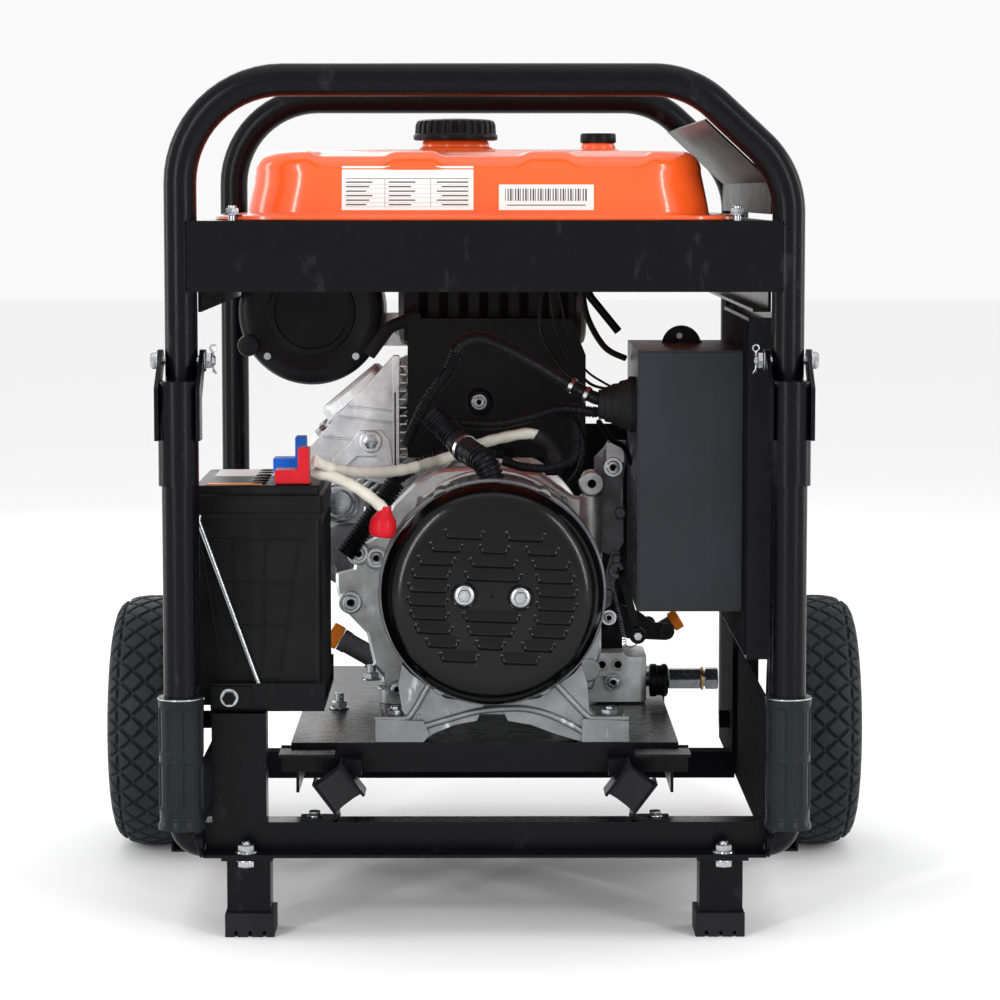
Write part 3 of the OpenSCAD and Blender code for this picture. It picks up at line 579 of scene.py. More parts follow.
def make_grips():
    columns, rows = 8, 2
    r0, low, high = 21.5, 117.5, 248

    def radius(a, z):
        r = r0 + 1.5 * (1 - ease(z, 121, 125)) * (1 if z < 125 else 0) + 0.6 * ease(z, 238, 242)
        r -= 0.5 * (1 if 126 < z < 127.4 or 129.6 < z < 131 else 0)
        pitch = 2 * pi / columns
        across = ((a + pitch / 2) % pitch - pitch / 2) * r0
        for row in range(rows):
            mid = 161 + row * 54
            along = max(abs(z - mid) - 18.5, 0)
            gap = sqrt(across * across + along * along)
            r += 0.45 * (1 - ease(abs(gap - 6.0), 0.3, 1.1)) - 1.5 * (1 - ease(gap, 4.2, 5.2))
        return r

    for side in ("left", "right"):
        x = -POST_X if side == "left" else POST_X
        shape = Shape(GRIP)
        levels = [low + 0.2 + k * (high - low - 0.4) / 150 for k in range(151)]
        count = 120
        angles = [2 * pi * k / count for k in range(count)]
        rings = [[(x + cos(a) * 14, HANDLE_D + sin(a) * 14, low) for a in angles]]
        for z in levels:
            reach = [radius(a + pi / 8, z) for a in angles]
            rings.append([(x + cos(a) * r, HANDLE_D + sin(a) * r, z) for a, r in zip(angles, reach)])
        rings.append([(x + cos(a) * 17, HANDLE_D + sin(a) * 17, high) for a in angles])
        shape.loft(rings)
        wire = [(x + WIRE_R * cos(radians(10 * k)), HANDLE_D + WIRE_R * sin(radians(10 * k)),
                 245.5 + 0.03 * k) for k in range(35)]
        shape.use(ZINC).sweep(wire, 0.85, 8)
        shape.piece(side + "_hand_grip", side + "_handle", (side + "_grip",), sharp=50)


# ---------------------------------------------------------------- tank

TANK_X, TANK_D = (-236, 224), (24, 652)
FILLER, GAUGE = (-30, 200, 0), (117, 200, 0)
WALL_LEAN = 0.2


def tank_dent(x, d, z):
    """Depth of the three stamped recesses in the front and rear shoulders."""
    lean = max(ease(-(d - 76), -6, 30), ease(d - 600, -6, 30)) * ease(z, 758, 768)
    across = max(ease(x, lo - 7, lo + 5) * (1 - ease(x, hi - 5, hi + 7))
                 for lo, hi in ((-168, -96), (-44, 38), (86, 160)))
    return 4.5 * lean * across


def make_tank():
    shape = Shape(RED)
    steps = 26

    def body_ring(inset, z, r):
        ring = rounded_rectangle((TANK_X[0] + inset, TANK_X[1] - inset),
                                 (TANK_D[0] + inset, TANK_D[1] - inset), r, z, steps)
        fine = []
        for i, (a, b) in enumerate(zip(ring, ring[1:] + ring[:1])):
            count = 60 if i % (steps + 1) == steps else 1
            fine += [tuple(Vector(a).lerp(Vector(b), k / count)) for k in range(count)]
        return [(x, d, zz - tank_dent(x, d, zz)) for x, d, zz in fine]

    def flange_ring(inset, z):
        """The flange follows the body's own ring, pushed out to a squarer outline."""
        ring = []
        for x, d, _ in body_ring(0, 720, 60):
            mx, md = (TANK_X[0] + TANK_X[1]) / 2, (TANK_D[0] + TANK_D[1]) / 2
            fx, fd = (x - mx) / 230, (d - md) / 314
            length = (abs(fx) ** 9 + abs(fd) ** 9) ** (1 / 9)
            ring.append((-6 + fx / length * (264 - inset), 338 + fd / length * (346 - inset), z))
        return ring

    rings = [flange_ring(30, 709.2), flange_ring(1, 709.2), flange_ring(0, 710.2), flange_ring(0, 713),
             flange_ring(1.2, 714), flange_ring(12, 714)]
    rings += [body_ring(inset, z, 62) for inset, z in ((-1.5, 714), (0, 715.5), (0.4, 717.5))]
    rings += [body_ring((z - 717) * WALL_LEAN, z, 62) for z in (725, 735, 745, 755)]
    shoulder = 20
    for k in range(1, 10):
        a = radians(90 * k / 9)
        rings.append(body_ring(7.8 + shoulder * (1 - cos(a)), 757 + shoulder * sin(a), 60 - 2 * k))
    rings += [body_ring(28 + inset, 777 + 3 * ease(inset, 0, 120), max(42 - inset * 0.3, 10))
              for inset in (6, 14, 24, 36, 50, 70, 100, 140, 180)]
    shape.loft(rings)
    shape.turned([(44, 777), (41, 781), (35, 783), (34, 788), (33, 789)], FILLER)
    shape.turned([(24, 777), (21, 780), (18, 781), (17, 786), (16.4, 787)], GAUGE)
    shape.use(DARK_ALLOY)
    shape.block((206, 224), (440, 460), (684, 708.8))
    shape.turned([(5, 0), (5, 18), (3.6, 19), (3.6, 30)], (215, 440, 690), FRONT, 24)
    shape.turned([(1.95, -20), (1.95, 6.4), (1.4, 7)], (224, 450, 690), RIGHT, 20)
    shape.piece("fuel_tank_shell", "frame", ("fuel_tank",), sharp=44)


def make_tank_bolts():
    shape = Shape(ZINC)
    for x in (-246, 246):
        for d in (8, LOOP_GAP - 8):
            shape.stack((x, d, SEAT_Z + 5), UP, ([(9.6, 0), (10, 0.6), (9.4, 1.6)], 28),
                        ([(6.8, 1.4), (7, 2), (7, 6.4), (6, 7.2)], 6), ([(4, -9), (4, 9), (3.2, 9.6)], 20))
            shape.turned([(6.8, 9), (7, 9.6), (7, 14), (6, 15)], (x, d, SEAT_Z + 5), DOWN, 6)
    shape.piece("tank_bolt_set", "frame", ("tank_bolts",), sharp=25)


def make_fuel_cap():
    ribs = 30
    shape = Shape(PLASTIC)

    def knurl(a, h):
        return -2.2 * ease(cos(a * ribs), -0.1, 0.5) if 796 < h < 808.5 else 0

    profile = [(30, 789.5), (41, 789.5), (43, 790.2), (43.4, 791.5), (43.4, 794.5), (42.2, 796),
               (41.8, 796.5), (41.6, 799), (41.4, 803), (41, 806), (40, 808.4), (38.6, 809.6), (36, 810.6),
               (31, 811.2), (30, 810.2), (16, 810.2), (15, 811.8), (8, 811.8), (5, 811.4)]
    shape.turned(profile, FILLER, UP, ribs * 8, knurl)
    shape.turned([(25.5, 776), (25.6, 777), (25.6, 790)], FILLER, UP, 48)
    shape.piece("fuel_filler_cap", "tank_cap", ("fuel_cap",), sharp=45)


def make_fuel_gauge():
    shape = Shape(PLASTIC)
    shape.hollow([(18.4, 787.1), (18.4, 795), (17.4, 796.8), (15.5, 796.8), (14.6, 794.6), (14.6, 787.1)],
                 GAUGE)
    shape.turned([(14.5, 787.2), (14.5, 794)], GAUGE)
    shape.use(LABEL).turned([(13.4, 793.8), (13.2, 794.4)], GAUGE)
    shape.use(RED_PLASTIC).block((116.3, 117.7), (190, 201), (794.3, 795.1))
    shape.use(PLASTIC).turned([(2.2, 794.2), (2, 795.4)], GAUGE, UP, 16)
    shape.piece("fuel_level_gauge", "frame", ("fuel_gauge",), sharp=35)


def label_point(x, z, lift):
    """A point on the tank's leaning front wall."""
    return (x, TANK_D[0] + (z - 717) * WALL_LEAN - lift, z)


def label_patch(shape, x, z, low, high):
    corners = ((x[0], z[0]), (x[1], z[0]), (x[1], z[1]), (x[0], z[1]))
    shape.loft([[label_point(a, b, lift) for a, b in corners] for lift in (low, high)])


def make_labels():
    shape = Shape(LABEL)
    plate, bars = ((-140, -11), (719, 762)), ((14, 107), (719, 744))
    for x, z in (plate, bars):
        label_patch(shape, x, z, -0.3, 0.35)
    shape.use(PRINT)
    (x0, x1), (z0, z1) = plate
    label_patch(shape, (x0 + 4, x1 - 4), (z1 - 12.6, z1 - 12), 0.3, 0.45)
    for row in range(6):
        top = z1 - 15 - row * 4.4
        for x in ((x0 + 4, x0 + 30 - 3 * (row % 3)), (x0 + 46, x0 + 72 - 4 * (row % 2)),
                  (x1 - 36 + 5 * (row % 2), x1 - 5)):
            label_patch(shape, x, (top - 1.3, top), 0.3, 0.45)
        label_patch(shape, (x0 + 4, x1 - 4), (top - 2.9, top - 2.7), 0.3, 0.42)
    for column in (x0 + 42, x1 - 42):
        label_patch(shape, (column, column + 0.4), (z0 + 3, z1 - 12.6), 0.3, 0.42)
    (x0, x1), (z0, z1) = bars
    count = 33
    for k in range(count):
        left = x0 + 6 + k * (x1 - x0 - 12) / count
        label_patch(shape, (left, left + 0.7 + 0.45 * (k % 3)), (z0 + 9, z1 - 4), 0.3, 0.45)
    label_patch(shape, (x0 + 8, x1 - 8), (z0 + 4.4, z0 + 5.4), 0.3, 0.45)
    shape.piece("tank_labels", "frame", (), sharp=30)


# ---------------------------------------------------------------- alternator

BOLT_TILT = 2.3         # degrees the cover is turned about the axis
BOLT_X = 28             # cover bolts, left and right of the axis
# centre and length of the side louvres in the upper five rows; the lower five mirror them
LOUVRE_SIDES = ((30.6, 39.5), (48, 33.5), (57.2, 38), (62.1, 39.2), (64.4, 41.5))
LOUVRE_MIDDLES = (0, 30, 47.5, 57.5, 0)
LOUVRE_PITCH = 13.75


def louvre_layout():
    """(x, z, length) of each louvre, relative to the axis, before the tilt."""
    louvres = []
    for row in range(10):
        mirror = min(row, 9 - row)
        z = 63 - LOUVRE_PITCH * row
        centre, side = LOUVRE_SIDES[mirror]
        louvres += [(-centre, z, side), (centre, z, side)]
        if LOUVRE_MIDDLES[mirror]:
            louvres.append((0, z, LOUVRE_MIDDLES[mirror]))
    return louvres


def face_point(x, z, lift):
    """A point over the cover's flat face, turned by the cover's tilt."""
    a = radians(BOLT_TILT)
    return (AXIS_X + x * cos(a) + z * sin(a), 45 - lift, AXIS_Z - x * sin(a) + z * cos(a))


def louvre_rings(length, high=4.4):
    """Pressed hood, ring by ring outwards: it slopes out from its top edge to a lip, with domed ends."""
    rings = []
    for spread, turn in ((0.8, 1), (0.2, 4)) + tuple((0, 15 * k) for k in range(1, 7)):
        rise = sin(radians(turn))
        top, low = 5.2 + spread - 8.0 * rise ** 0.9, -5 - spread * 0.5 + 0.3 * rise
        half = length / 2 + spread - 6.6 * (1 - cos(radians(turn)))
        end = 6.2 - 4.2 * (1 - cos(radians(turn)))
        ring = []
        for k in range(32):
            a = 2 * pi * (k + 0.5) / 32
            x = (half - end) * (1 if cos(a) > 0 else -1) + end * cos(a)
            ring.append((x, (top + low) / 2 + (top - low) / 2 * sin(a), high * max(rise, 0.01)))
        rings.append(ring)
    return rings


def make_cover():
    shape = Shape(COVER)
    shell = [(1, 47), (1, 45), (84, 45), (90, 45.5), (97, 47.4), (103, 51), (108, 56), (110.8, 61),
             (112, 66), (112, 78), (110.2, 78), (110, 66), (108, 61), (104, 56), (98, 51), (90, 48),
             (84, 47)]
    shape.hollow(shell, ENGINE_AXIS, BACK, 128)
    for x, z, length in louvre_layout():
        shape.use(COVER).loft([[face_point(x + px, z + pz, lift) for px, pz, lift in ring]
                               for ring in louvre_rings(length)])
        # Black patch under each louvre's lip: painted shade in the slit.
        half = length / 2 - 3
        corners = ((-half, -7.3), (half, -7.3), (half + 0.6, -4.9), (-half - 0.6, -4.9))
        slit_shade = [[face_point(x + px, z + pz, lift) for px, pz in corners] for lift in (0.02, 0.2)]
        shape.use(SHADOW_SLOT).loft(slit_shade)
    shape.use(COVER)
    for side in (-1, 1):
        centre = face_point(side * BOLT_X, 0, 0)
        shape.hollow([(10.5, 0.2), (12.5, -0.8), (13.5, 0.1), (13.5, 0.5), (10.5, 0.5)], centre, BACK, 40)
    shape.piece("louvred_end_cover", "frame", ("alternator_cover",), sharp=35)


def make_alternator_bolts():
    shape = Shape(ZINC)
    for side in (-1, 1):
        centre = face_point(side * BOLT_X, 0, 0)
        shape.stack(centre, FRONT, ([(9.6, 0), (9.8, 0.5), (8.8, 1.2), (6.6, 1.8)], 36),
                    ([(6.4, 1.2), (6.8, 1.8), (6.8, 5.2), (6.0, 6.2)], 6), ([(4.6, 6), (4.2, 6.7)], 24),
                    ([(3.9, -26), (3.9, 1)], 20))
    for x in (-91, 126):
        o = (x, 95, 205)
        shape.stack(o, UP, ([(10.6, 0), (11, 0.5), (10.6, 1.5)], 30),
                    ([(8.4, 1.3), (8.8, 2), (8.8, 8.6), (7.6, 9.5)], 6),
                    ([(5, -25), (5, 11.6), (4.2, 12.4)], 24))
        shape.turned([(8.4, 27.5), (8.8, 28), (8.8, 33), (7.6, 34)], o, DOWN, 6)
    shape.piece("alternator_bolt_set", "frame", ("alternator_bolts",), sharp=25)


BELL_FEET = {-1: (-111, -62), 1: (98, 146)}     # x range of the left and the right foot


def make_end_bell():
    shape = Shape(DARK_ALLOY)
    ribs = 36

    def fins(a, r, h):
        return -2.2 * ease(cos(a * ribs), 0.1, 0.7) if r > 112 and 86 < h < 116 else 0

    ring = [(106, 79), (114, 79), (115, 80), (115, 84), (114.6, 87), (114.6, 101), (114.6, 115), (115, 118),
            (115, 120), (106, 120)]
    shape.hollow(ring, ENGINE_AXIS, BACK, ribs * 8, fins)
    shape.use(BELL)
    shape.hollow([(16, 108), (38, 104), (105.5, 104), (105.5, 111.5), (16, 111.5)], ENGINE_AXIS, BACK, 72)
    shape.hollow([(26.2, 84), (37, 84), (38, 86), (38, 108), (26.2, 108)], ENGINE_AXIS, BACK, 48)
    legs = {-1: [(-111, 182), (-62, 182), (-52, 190), (-30, 199), (-8, 203), (0, 221), (-40, 227),
                 (-75, 252), (-84, 262), (-88, 240), (-84, 214), (-79, 206), (-111, 205)],
            1: [(96, 182), (146, 182), (146, 205), (113, 206), (106, 214), (104, 240), (98, 262), (90, 252),
                (55, 227), (15, 221), (23, 203), (46, 199), (70, 190)]}
    for side, outline in legs.items():
        shape.prism(outline, 85, 118)
        low, high = BELL_FEET[side]
        for x in (low + 3, high - 7):
            shape.prism([(x, 204), (x + 4, 204), (x + 4, 210), (x, 210)], 84, 116)
    rims = (([(-112, 206), (-81, 206), (-72, 214), (-57, 240), (-50, 250)], 3.2),
            ([(146, 206), (112, 206), (103, 209), (89, 223), (73, 240), (66, 248)], 3.2),
            ([(-108, 186), (-92, 189), (-61, 198), (-34, 206), (-8, 213), (19, 216), (42, 215.5), (64, 210),
              (86, 200), (103, 191), (126, 188), (142, 187)], 3.4))
    for path, r in rims:
        shape.sweep(spline([(x, 84, z) for x, z in path], 2.5), r, 14)
    shape.prism([(-30, 203), (-4, 208.5), (50, 208.5), (72, 201), (64, 232), (-48, 232)], 92, 118)
    for side, (x0, x1) in BELL_FEET.items():
        shape.prism([(x0, 182), (x1, 182), (x1 + (6 if side < 0 else 0), 190), (x1, 204), (x0, 206)], 80, 118)
    for a in (62, 118, 242, 298):
        x, z = on_axis_point(a, 109)
        shape.turned([(8, 79), (8.6, 80), (8.6, 119), (8, 120)], (x, 0, z), BACK, 28)
    for a in range(0, 360, 60):
        shape.loft(spoke(a, (36, 4), (106, 4), (88, 104.5)))
    for side in (-1, 1):
        o = face_point(side * BOLT_X, 0, 0)
        shape.hollow([(4, -2.2), (8.6, -2.2), (9, -3), (9, -62), (4, -62)], o, FRONT, 28)
    shape.piece("tail_end_bell", "frame", ("end_bell",), 0.9, 2)


def make_windings():
    shape = Shape(DARK_ALLOY)
    slots = 36

    def laminate(a, r, h):
        return -3 * ease(cos(a * slots / 3), 0.6, 0.9) if r > 100 else 0

    shape.hollow([(66, 120.2), (105, 120.2), (105, 269.8), (66, 269.8)], ENGINE_AXIS, BACK, 144, laminate)
    shape.use(BRASS)
    for d in (122, 268):
        shape.hollow([(70, d - 12), (84, d - 14), (96, d - 8), (96, d + 8), (84, d + 14), (70, d + 12)],
                     ENGINE_AXIS, BACK, 96, lambda a, r, h: 1.2 * cos(a * 24) if r > 80 else 0)
    shape.use(ZINC)
    for a in (45, 135, 225, 315):
        x, z = on_axis_point(a, 108)
        shape.turned([(4, 120), (4, 272)], (x, 0, z), BACK, 16)
    shape.piece("wound_stator", "frame", ("stator",), sharp=30)
    for node, material in (("tail_bearing", ZINC), ("rotor", DARK_ALLOY), ("flywheel_fan", ALLOY)):
        keep_cad(node, material, 0.4)


# ---------------------------------------------------------------- battery

CASE_X, CASE_D = (-291, -162), (40, 237)


def make_battery():
    shape = Shape(BATTERY)
    x0, x1 = CASE_X
    d0, d1 = CASE_D

    def ring(inset, z, r=6.0):
        return rounded_rectangle((x0 + inset, x1 - inset), (d0 + inset, d1 - inset), r, z, 4)

    shape.loft([ring(3, 226.2), ring(1.2, 227.4), ring(1.0, 395), ring(0.6, 419)])
    shape.loft([ring(-0.6, 419.1), ring(-0.9, 420), ring(-0.9, 436), ring(1.5, 438), ring(2.2, 438.5),
                ring(2.2, 445), ring(3.5, 446.6)])
    for face, out in ((d0, -1), (d1, 1)):
        depth = sorted((face + out * 0.8, face - out * 2))
        for z, lo, hi in ((392, -284, -177), (348.5, -266, -192), (305.8, -262, -196)):
            shape.block((lo, hi), depth, (z, z + 1.7))
        for top, low, z in ((-250.6, -248.6, 268), (-218.2, -223, 258), (-184.6, -204, 262),
                            (-283, -263, 262)):
            shape.loft([[(top, a, 392), (top + 1.8, a, 392), (low + 1.6, a, z), (low, a, z)] for a in depth])
        shape.block((x0 + 0.6, x1 - 0.6), depth, (413, 419))
    for k in range(9):
        d = d0 + 14 + k * 21
        shape.block((x0 - 0.3, x0 + 1.5), (d, d + 2), (230, 408))
        shape.block((x1 - 1.5, x1 + 0.3), (d, d + 2), (230, 408))
    for k in range(6):
        shape.turned([(8.5, 446), (8.5, 447.2), (7, 448.2), (3, 448.4)],
                     ((x0 + x1) / 2, d0 + 24 + k * 30, 0), UP, 28)
    shape.use(LABEL).block((x0 + 14, x1 - 14), (d0 + 110, d1 - 10), (446.4, 447.2))
    shape.use(ORANGE).block((x0 + 14, x1 - 60), (d0 + 12, d0 + 24), (446.4, 447.3))
    shape.use(DARK_ALLOY)
    for d in (66, 212):
        shape.turned([(9, 446), (8.6, 448), (8, 457)], (-198, d, 0), UP, 28)
    shape.piece("starter_battery", "frame", ("battery",), 0.5)


def make_battery_fixings():
    keep_cad("battery_tray", PAINT, 0.5)
    shape = Shape(ZINC)
    shape.sweep(rounded_path([(-283, 38.6, 417), (-284, 36.3, 412), (-219, 36.3, 231)], [1.5]), 2.35, 16)
    shape.piece("hold_down_rod", "frame", ("battery_rod",), sharp=40)
    shape = Shape(RED_PLASTIC)
    for material, x, d in ((RED_PLASTIC, -209, 50), (BLUE_PLASTIC, -220, 196)):
        outline = [(x, 447.5), (x + 35, 447.5), (x + 35, 450), (x + 34, 451), (x + 34, 483), (x + 23, 483),
                   (x + 23, 461), (x, 461)]
        shape.use(material).prism(outline, d, d + 32)
    shape.piece("terminal_cover_pair", "frame", ("terminal_covers",), 1.6, 3)
    shape = Shape(ZINC)
    shape.turned([(9, 0.2), (9.4, 0.8), (8.8, 1.6)], (-254, 27, 236), FRONT, 30)
    shape.piece("strap_washer", "frame")


# ---------------------------------------------------------------- wheels

GROOVE = 3.6
TREAD_REPEATS = 34
TREAD_STEPS = 16        # slices of the tyre per repeat of the tread
WHEEL_X, RIM_X = 372, 328


def tread_height(a, w):
    """Groove depth at angle a and distance w from the middle of the tread, in mm."""
    pitch = 2 * pi * TYRE_R / TREAD_REPEATS
    run = a * TYRE_R
    depth = 0.0
    for sign in (-1, 1):
        line = (run + sign * w * 0.95) % pitch
        depth = max(depth, 1 - ease(abs(line - pitch / 2), 1.5, 2.7))
    depth = max(depth, 1 - ease(abs(abs(w) - 30), 0.8, 1.8)) if abs(w) < 36 else depth
    return GROOVE * depth * (1 - ease(abs(w), 40, 44))


def make_wheel(side):
    sign = -1 if side == "left" else 1
    shape = Shape(TYRE)
    middle = sign * WHEEL_X
    count = TREAD_REPEATS * TREAD_STEPS
    outline = []
    for k in range(61):
        w = -36 + 72 * k / 60
        outline.append((w, TYRE_R - 9 * (abs(w) / 36) ** 3))
    shoulder = [(38.5, 129.5), (41, 125), (43, 118), (44, 108), (43.8, 98), (42.4, 88), (38.5, 76),
                (33, 66), (30, 58)]
    outline = [(-w, r) for w, r in reversed(shoulder)] + outline + shoulder
    inner = [(26, 59), (30, 72), (36, 96), (34, 116), (20, 128), (0, 131), (-20, 128), (-34, 116),
             (-36, 96), (-30, 72), (-26, 59)]
    rings = []
    for k in range(count):
        a = 2 * pi * k / count
        ring = []
        for w, r in outline:
            drop = tread_height(a, w) if r > 118 else 0
            r2 = r - drop + (0.7 if 92 < r < 96 else 0)
            ring.append((middle + w, AXLE_D + r2 * cos(a), AXLE_Z + r2 * sin(a)))
        ring += [(middle + w, AXLE_D + r * cos(a), AXLE_Z + r * sin(a)) for w, r in inner]
        rings.append(ring)
    shape.loft(rings, loop=True)
    shape.piece(side + "_treaded_tyre", side + "_wheel", (side + "_tyre",), sharp=50)
    shape = Shape(GREY)
    o, axis = (sign * RIM_X, AXLE_D, AXLE_Z), (sign, 0, 0)
    shape.hollow([(49, 16), (59, 14), (61, 16), (57, 20), (54, 26), (54, 62), (57, 68), (61, 72), (59, 74),
                  (49, 72), (51, 62), (50, 44), (46, 41), (34, 40), (24, 44), (16, 46), (16, 42), (24, 40),
                  (34, 36.5), (48, 37), (51, 30)], o, axis, 96)
    shape.hollow([(10.1, 4), (17, 4), (18, 5), (18, 73), (17, 74), (10.1, 74)], o, axis, 48)
    for k in range(5):
        a = 2 * pi * k / 5
        c = Vector(o) + Vector((sign * 41, cos(a) * 32, sin(a) * 32))
        shape.bolt(c, axis, 3.5)
    shape.use(RUBBER).turned([(3, 0), (3, 12), (2.4, 13), (2.4, 20)],
                             Vector(o) + Vector((sign * 40, 0, 48)), axis, 16)
    shape.use(ZINC)
    shape.hollow([(10.1, 73), (15, 73), (15.6, 74), (15, 75.6), (10.1, 75.6)], o, axis, 40)
    shape.piece(side + "_steel_rim", side + "_wheel", (side + "_rim",), sharp=32)


# ---------------------------------------------------------------- stage

LIGHT_TARGET = (0, 0, 0.45)
# name, place in metres, size in metres, power in watts
LIGHTS = (("left_strip", (-1.9, -3.2, 1.4), (0.14, 2.6), 50),
          ("right_strip", (2.3, -2.9, 1.4), (0.14, 2.6), 46),
          ("left_side", (-3.1, 0.5, 1.1), (0.5, 2.2), 24),
          ("right_side", (3.1, 0.5, 1.1), (0.5, 2.2), 24),
          ("top", (0, -0.6, 3.2), (2.6, 2.6), 18),
          ("back", (-1.0, 3.2, 2.0), (1.6, 2.2), 18))
CAMERA_D, CAMERA_Z = -3200, 736     # in front of the front loop, level with the tank's flange
CAMERA_LENS = 118
CAMERA_PITCH, CAMERA_YAW = 5.356, -0.267


def make_stage():
    bpy.ops.mesh.primitive_plane_add(size=30, location=(0, 4, 0))
    floor = bpy.context.object
    floor.name = "studio_floor"
    white = bpy.data.materials.new("studio_white")
    white.use_nodes = True
    shader = white.node_tree.nodes["Principled BSDF"]
    shader.inputs["Base Color"].default_value = (0.93, 0.93, 0.93, 1)
    shader.inputs["Roughness"].default_value = 0.9
    floor.data.materials.append(white)
    world = bpy.data.worlds.new("studio")
    world.use_nodes = True
    world.node_tree.nodes["Background"].inputs["Color"].default_value = (1, 1, 1, 1)
    world.node_tree.nodes["Background"].inputs["Strength"].default_value = 0.95
    bpy.context.scene.world = world
    for name, place, size, power in LIGHTS:
        light = bpy.data.lights.new(name, "AREA")
        light.shape = "RECTANGLE"
        light.size, light.size_y = size
        light.energy = power
        lamp = bpy.data.objects.new(name, light)
        lamp.location = place
        lamp.visible_camera = False
        aim = Vector(LIGHT_TARGET) - Vector(place)
        lamp.rotation_euler = aim.to_track_quat("-Z", "Y").to_euler()
        bpy.context.scene.collection.objects.link(lamp)


def make_camera():
    """Camera 3.2 m in front of the front loop, at the height of the tank's flange, aimed at the middle."""
    data = bpy.data.cameras.new("camera")
    data.sensor_width = 36
    data.lens = CAMERA_LENS
    camera = bpy.data.objects.new("camera", data)
    camera.location = at(0, CAMERA_D, CAMERA_Z)
    camera.rotation_euler = (radians(90 - CAMERA_PITCH), 0, radians(CAMERA_YAW))
    bpy.context.scene.collection.objects.link(camera)
    bpy.context.scene.camera = camera
    bpy.context.scene.view_settings.view_transform = "Standard"


# ---------------------------------------------------------------- cradle mounts

MOUNT_TILT = 37
MOUNT_SHIFTS = ((0, 0), (441, -5))      # (d, z) of the front and the rear pair


def make_rubber_mounts():
    shape = Shape(RUBBER)
    tilt = radians(MOUNT_TILT)

    def local(side, d_shift, z_shift):
        """Maps mount coordinates (along the tilt, depth, across) to the row frame."""
        def place(a, d, n):
            x = -a * cos(tilt) + n * sin(tilt)
            return (side * (145 + x), 24 + d + d_shift, 147 + a * sin(tilt) + n * cos(tilt) + z_shift)
        return place

    for side in (-1, 1):
        for d_shift, z_shift in MOUNT_SHIFTS:
            place = local(side, d_shift, z_shift)
            shape.use(RUBBER)
            waist = [(-15, 0), (-13.5, 1.2), (-6, 2.4), (6, 2.4), (13.5, 1.2), (15, 0)]
            shape.loft([[place(a, sd * (17.8 - inset * 0.6), sn * (17 - inset * 0.5)) for sd, sn in CORNERS]
                        for a, inset in waist])
            shape.use(PAINT)
            for a in (-18, 15.1):
                shape.loft([[place(b, sd * 20, sn * 20) for sd, sn in CORNERS] for b in (a, a + 2.9)])
            base = 113 + z_shift
            for x0, x1, d0, d1, z0, z1 in ((146, 184, 15, 44, 113, 116), (145, 150, 15, 44, 113, 121),
                                           (124, 142, 44, 80, 154, 170)):
                shape.block(sorted((side * x0, side * x1)), (d0 + d_shift, d1 + d_shift),
                            (z0 + z_shift, z1 + z_shift))
            shape.weld([(side * 144, 14.5 + d_shift, 122 + z_shift),
                        (side * 148, 14.5 + d_shift, 117 + z_shift),
                        (side * 153, 14.5 + d_shift, 114.5 + z_shift)], 1.8)
            shape.bolt((side * 170, 30 + d_shift, base + 3), UP, 3.5)
    shape.piece("cradle_rubber_mounts", "frame", ("rubber_mounts",), 0.8)


# ---------------------------------------------------------------- engine

def make_crankcase():
    shape = Shape(ALLOY)
    shape.hollow([(98, 270), (107, 270), (108, 271), (108, 282), (104, 290), (101, 300), (101, 322),
                  (106, 330), (98, 330)], ENGINE_AXIS, BACK, 144,
                 lambda a, r, h: 3 * ease(cos(a * 8), 0.75, 0.95) if 284 < h < 326 and r > 99 else 0)
    body = [(108, 330), (110, 332), (110, 345), (104, 350), (104, 500), (110, 506), (110, 538), (108, 540)]
    shape.turned(body, ENGINE_AXIS, BACK, 144,
                 lambda a, h: 3.5 * ease(cos(a * 14), 0.8, 0.95) if 350 < h < 500 else 0)
    for k in range(10):
        x, z = on_axis_point(18 + k * 36, 100)
        shape.bolt((x, 330, z), FRONT, 4)
    sump = rounded_rectangle((-115, 125), (330, 540), 14, 182, 5)
    shape.loft(stacked(sump, (182.2, 196, 197)))
    sump_top = rounded_rectangle((-104, 114), (338, 532), 14, 0, 5)
    shape.loft(stacked(sump_top, (196.5, 250, 262)))
    for k in range(9):
        x = -96 + k * 25
        shape.block((x, x + 5), (331, 340), (197, 250))
    for x in (-108, 118):
        for d in (345, 525):
            shape.bolt((x, d, 197), UP, 4.5)
    shape.use(SHEET)
    shape.prism([(122, 226), (152, 226), (152, 262), (140, 262), (122, 240)], 396, 400)
    shape.turned([(2.95, 399), (2.95, 406)], (140, 0, 250), BACK, 20)
    shape.use(ALLOY)
    shape.block((120, 152), (352, 372), (182.4, 236))
    # Black discs in the two bosses: painted shade in their holes.
    for z in (205, 222):
        shape.use(SHADOW_SLOT).turned([(4.2, -0.2), (4.2, 0.3)], (136, 352, z), FRONT, 20)
        shape.use(ALLOY).hollow([(4.2, -0.5), (6.5, -0.5), (6.2, 0.9), (4.2, 0.9)], (136, 352, z), FRONT, 24)
    shape.piece("engine_crankcase", "frame", ("crankcase",), 0.9)


def up_the_bore(across, depth, up):
    """A point in the cylinder's own frame, which leans 40 degrees to the battery side."""
    a = radians(40)
    return (AXIS_X + across * cos(a) - up * sin(a), 435 + depth, AXIS_Z + across * sin(a) + up * cos(a))


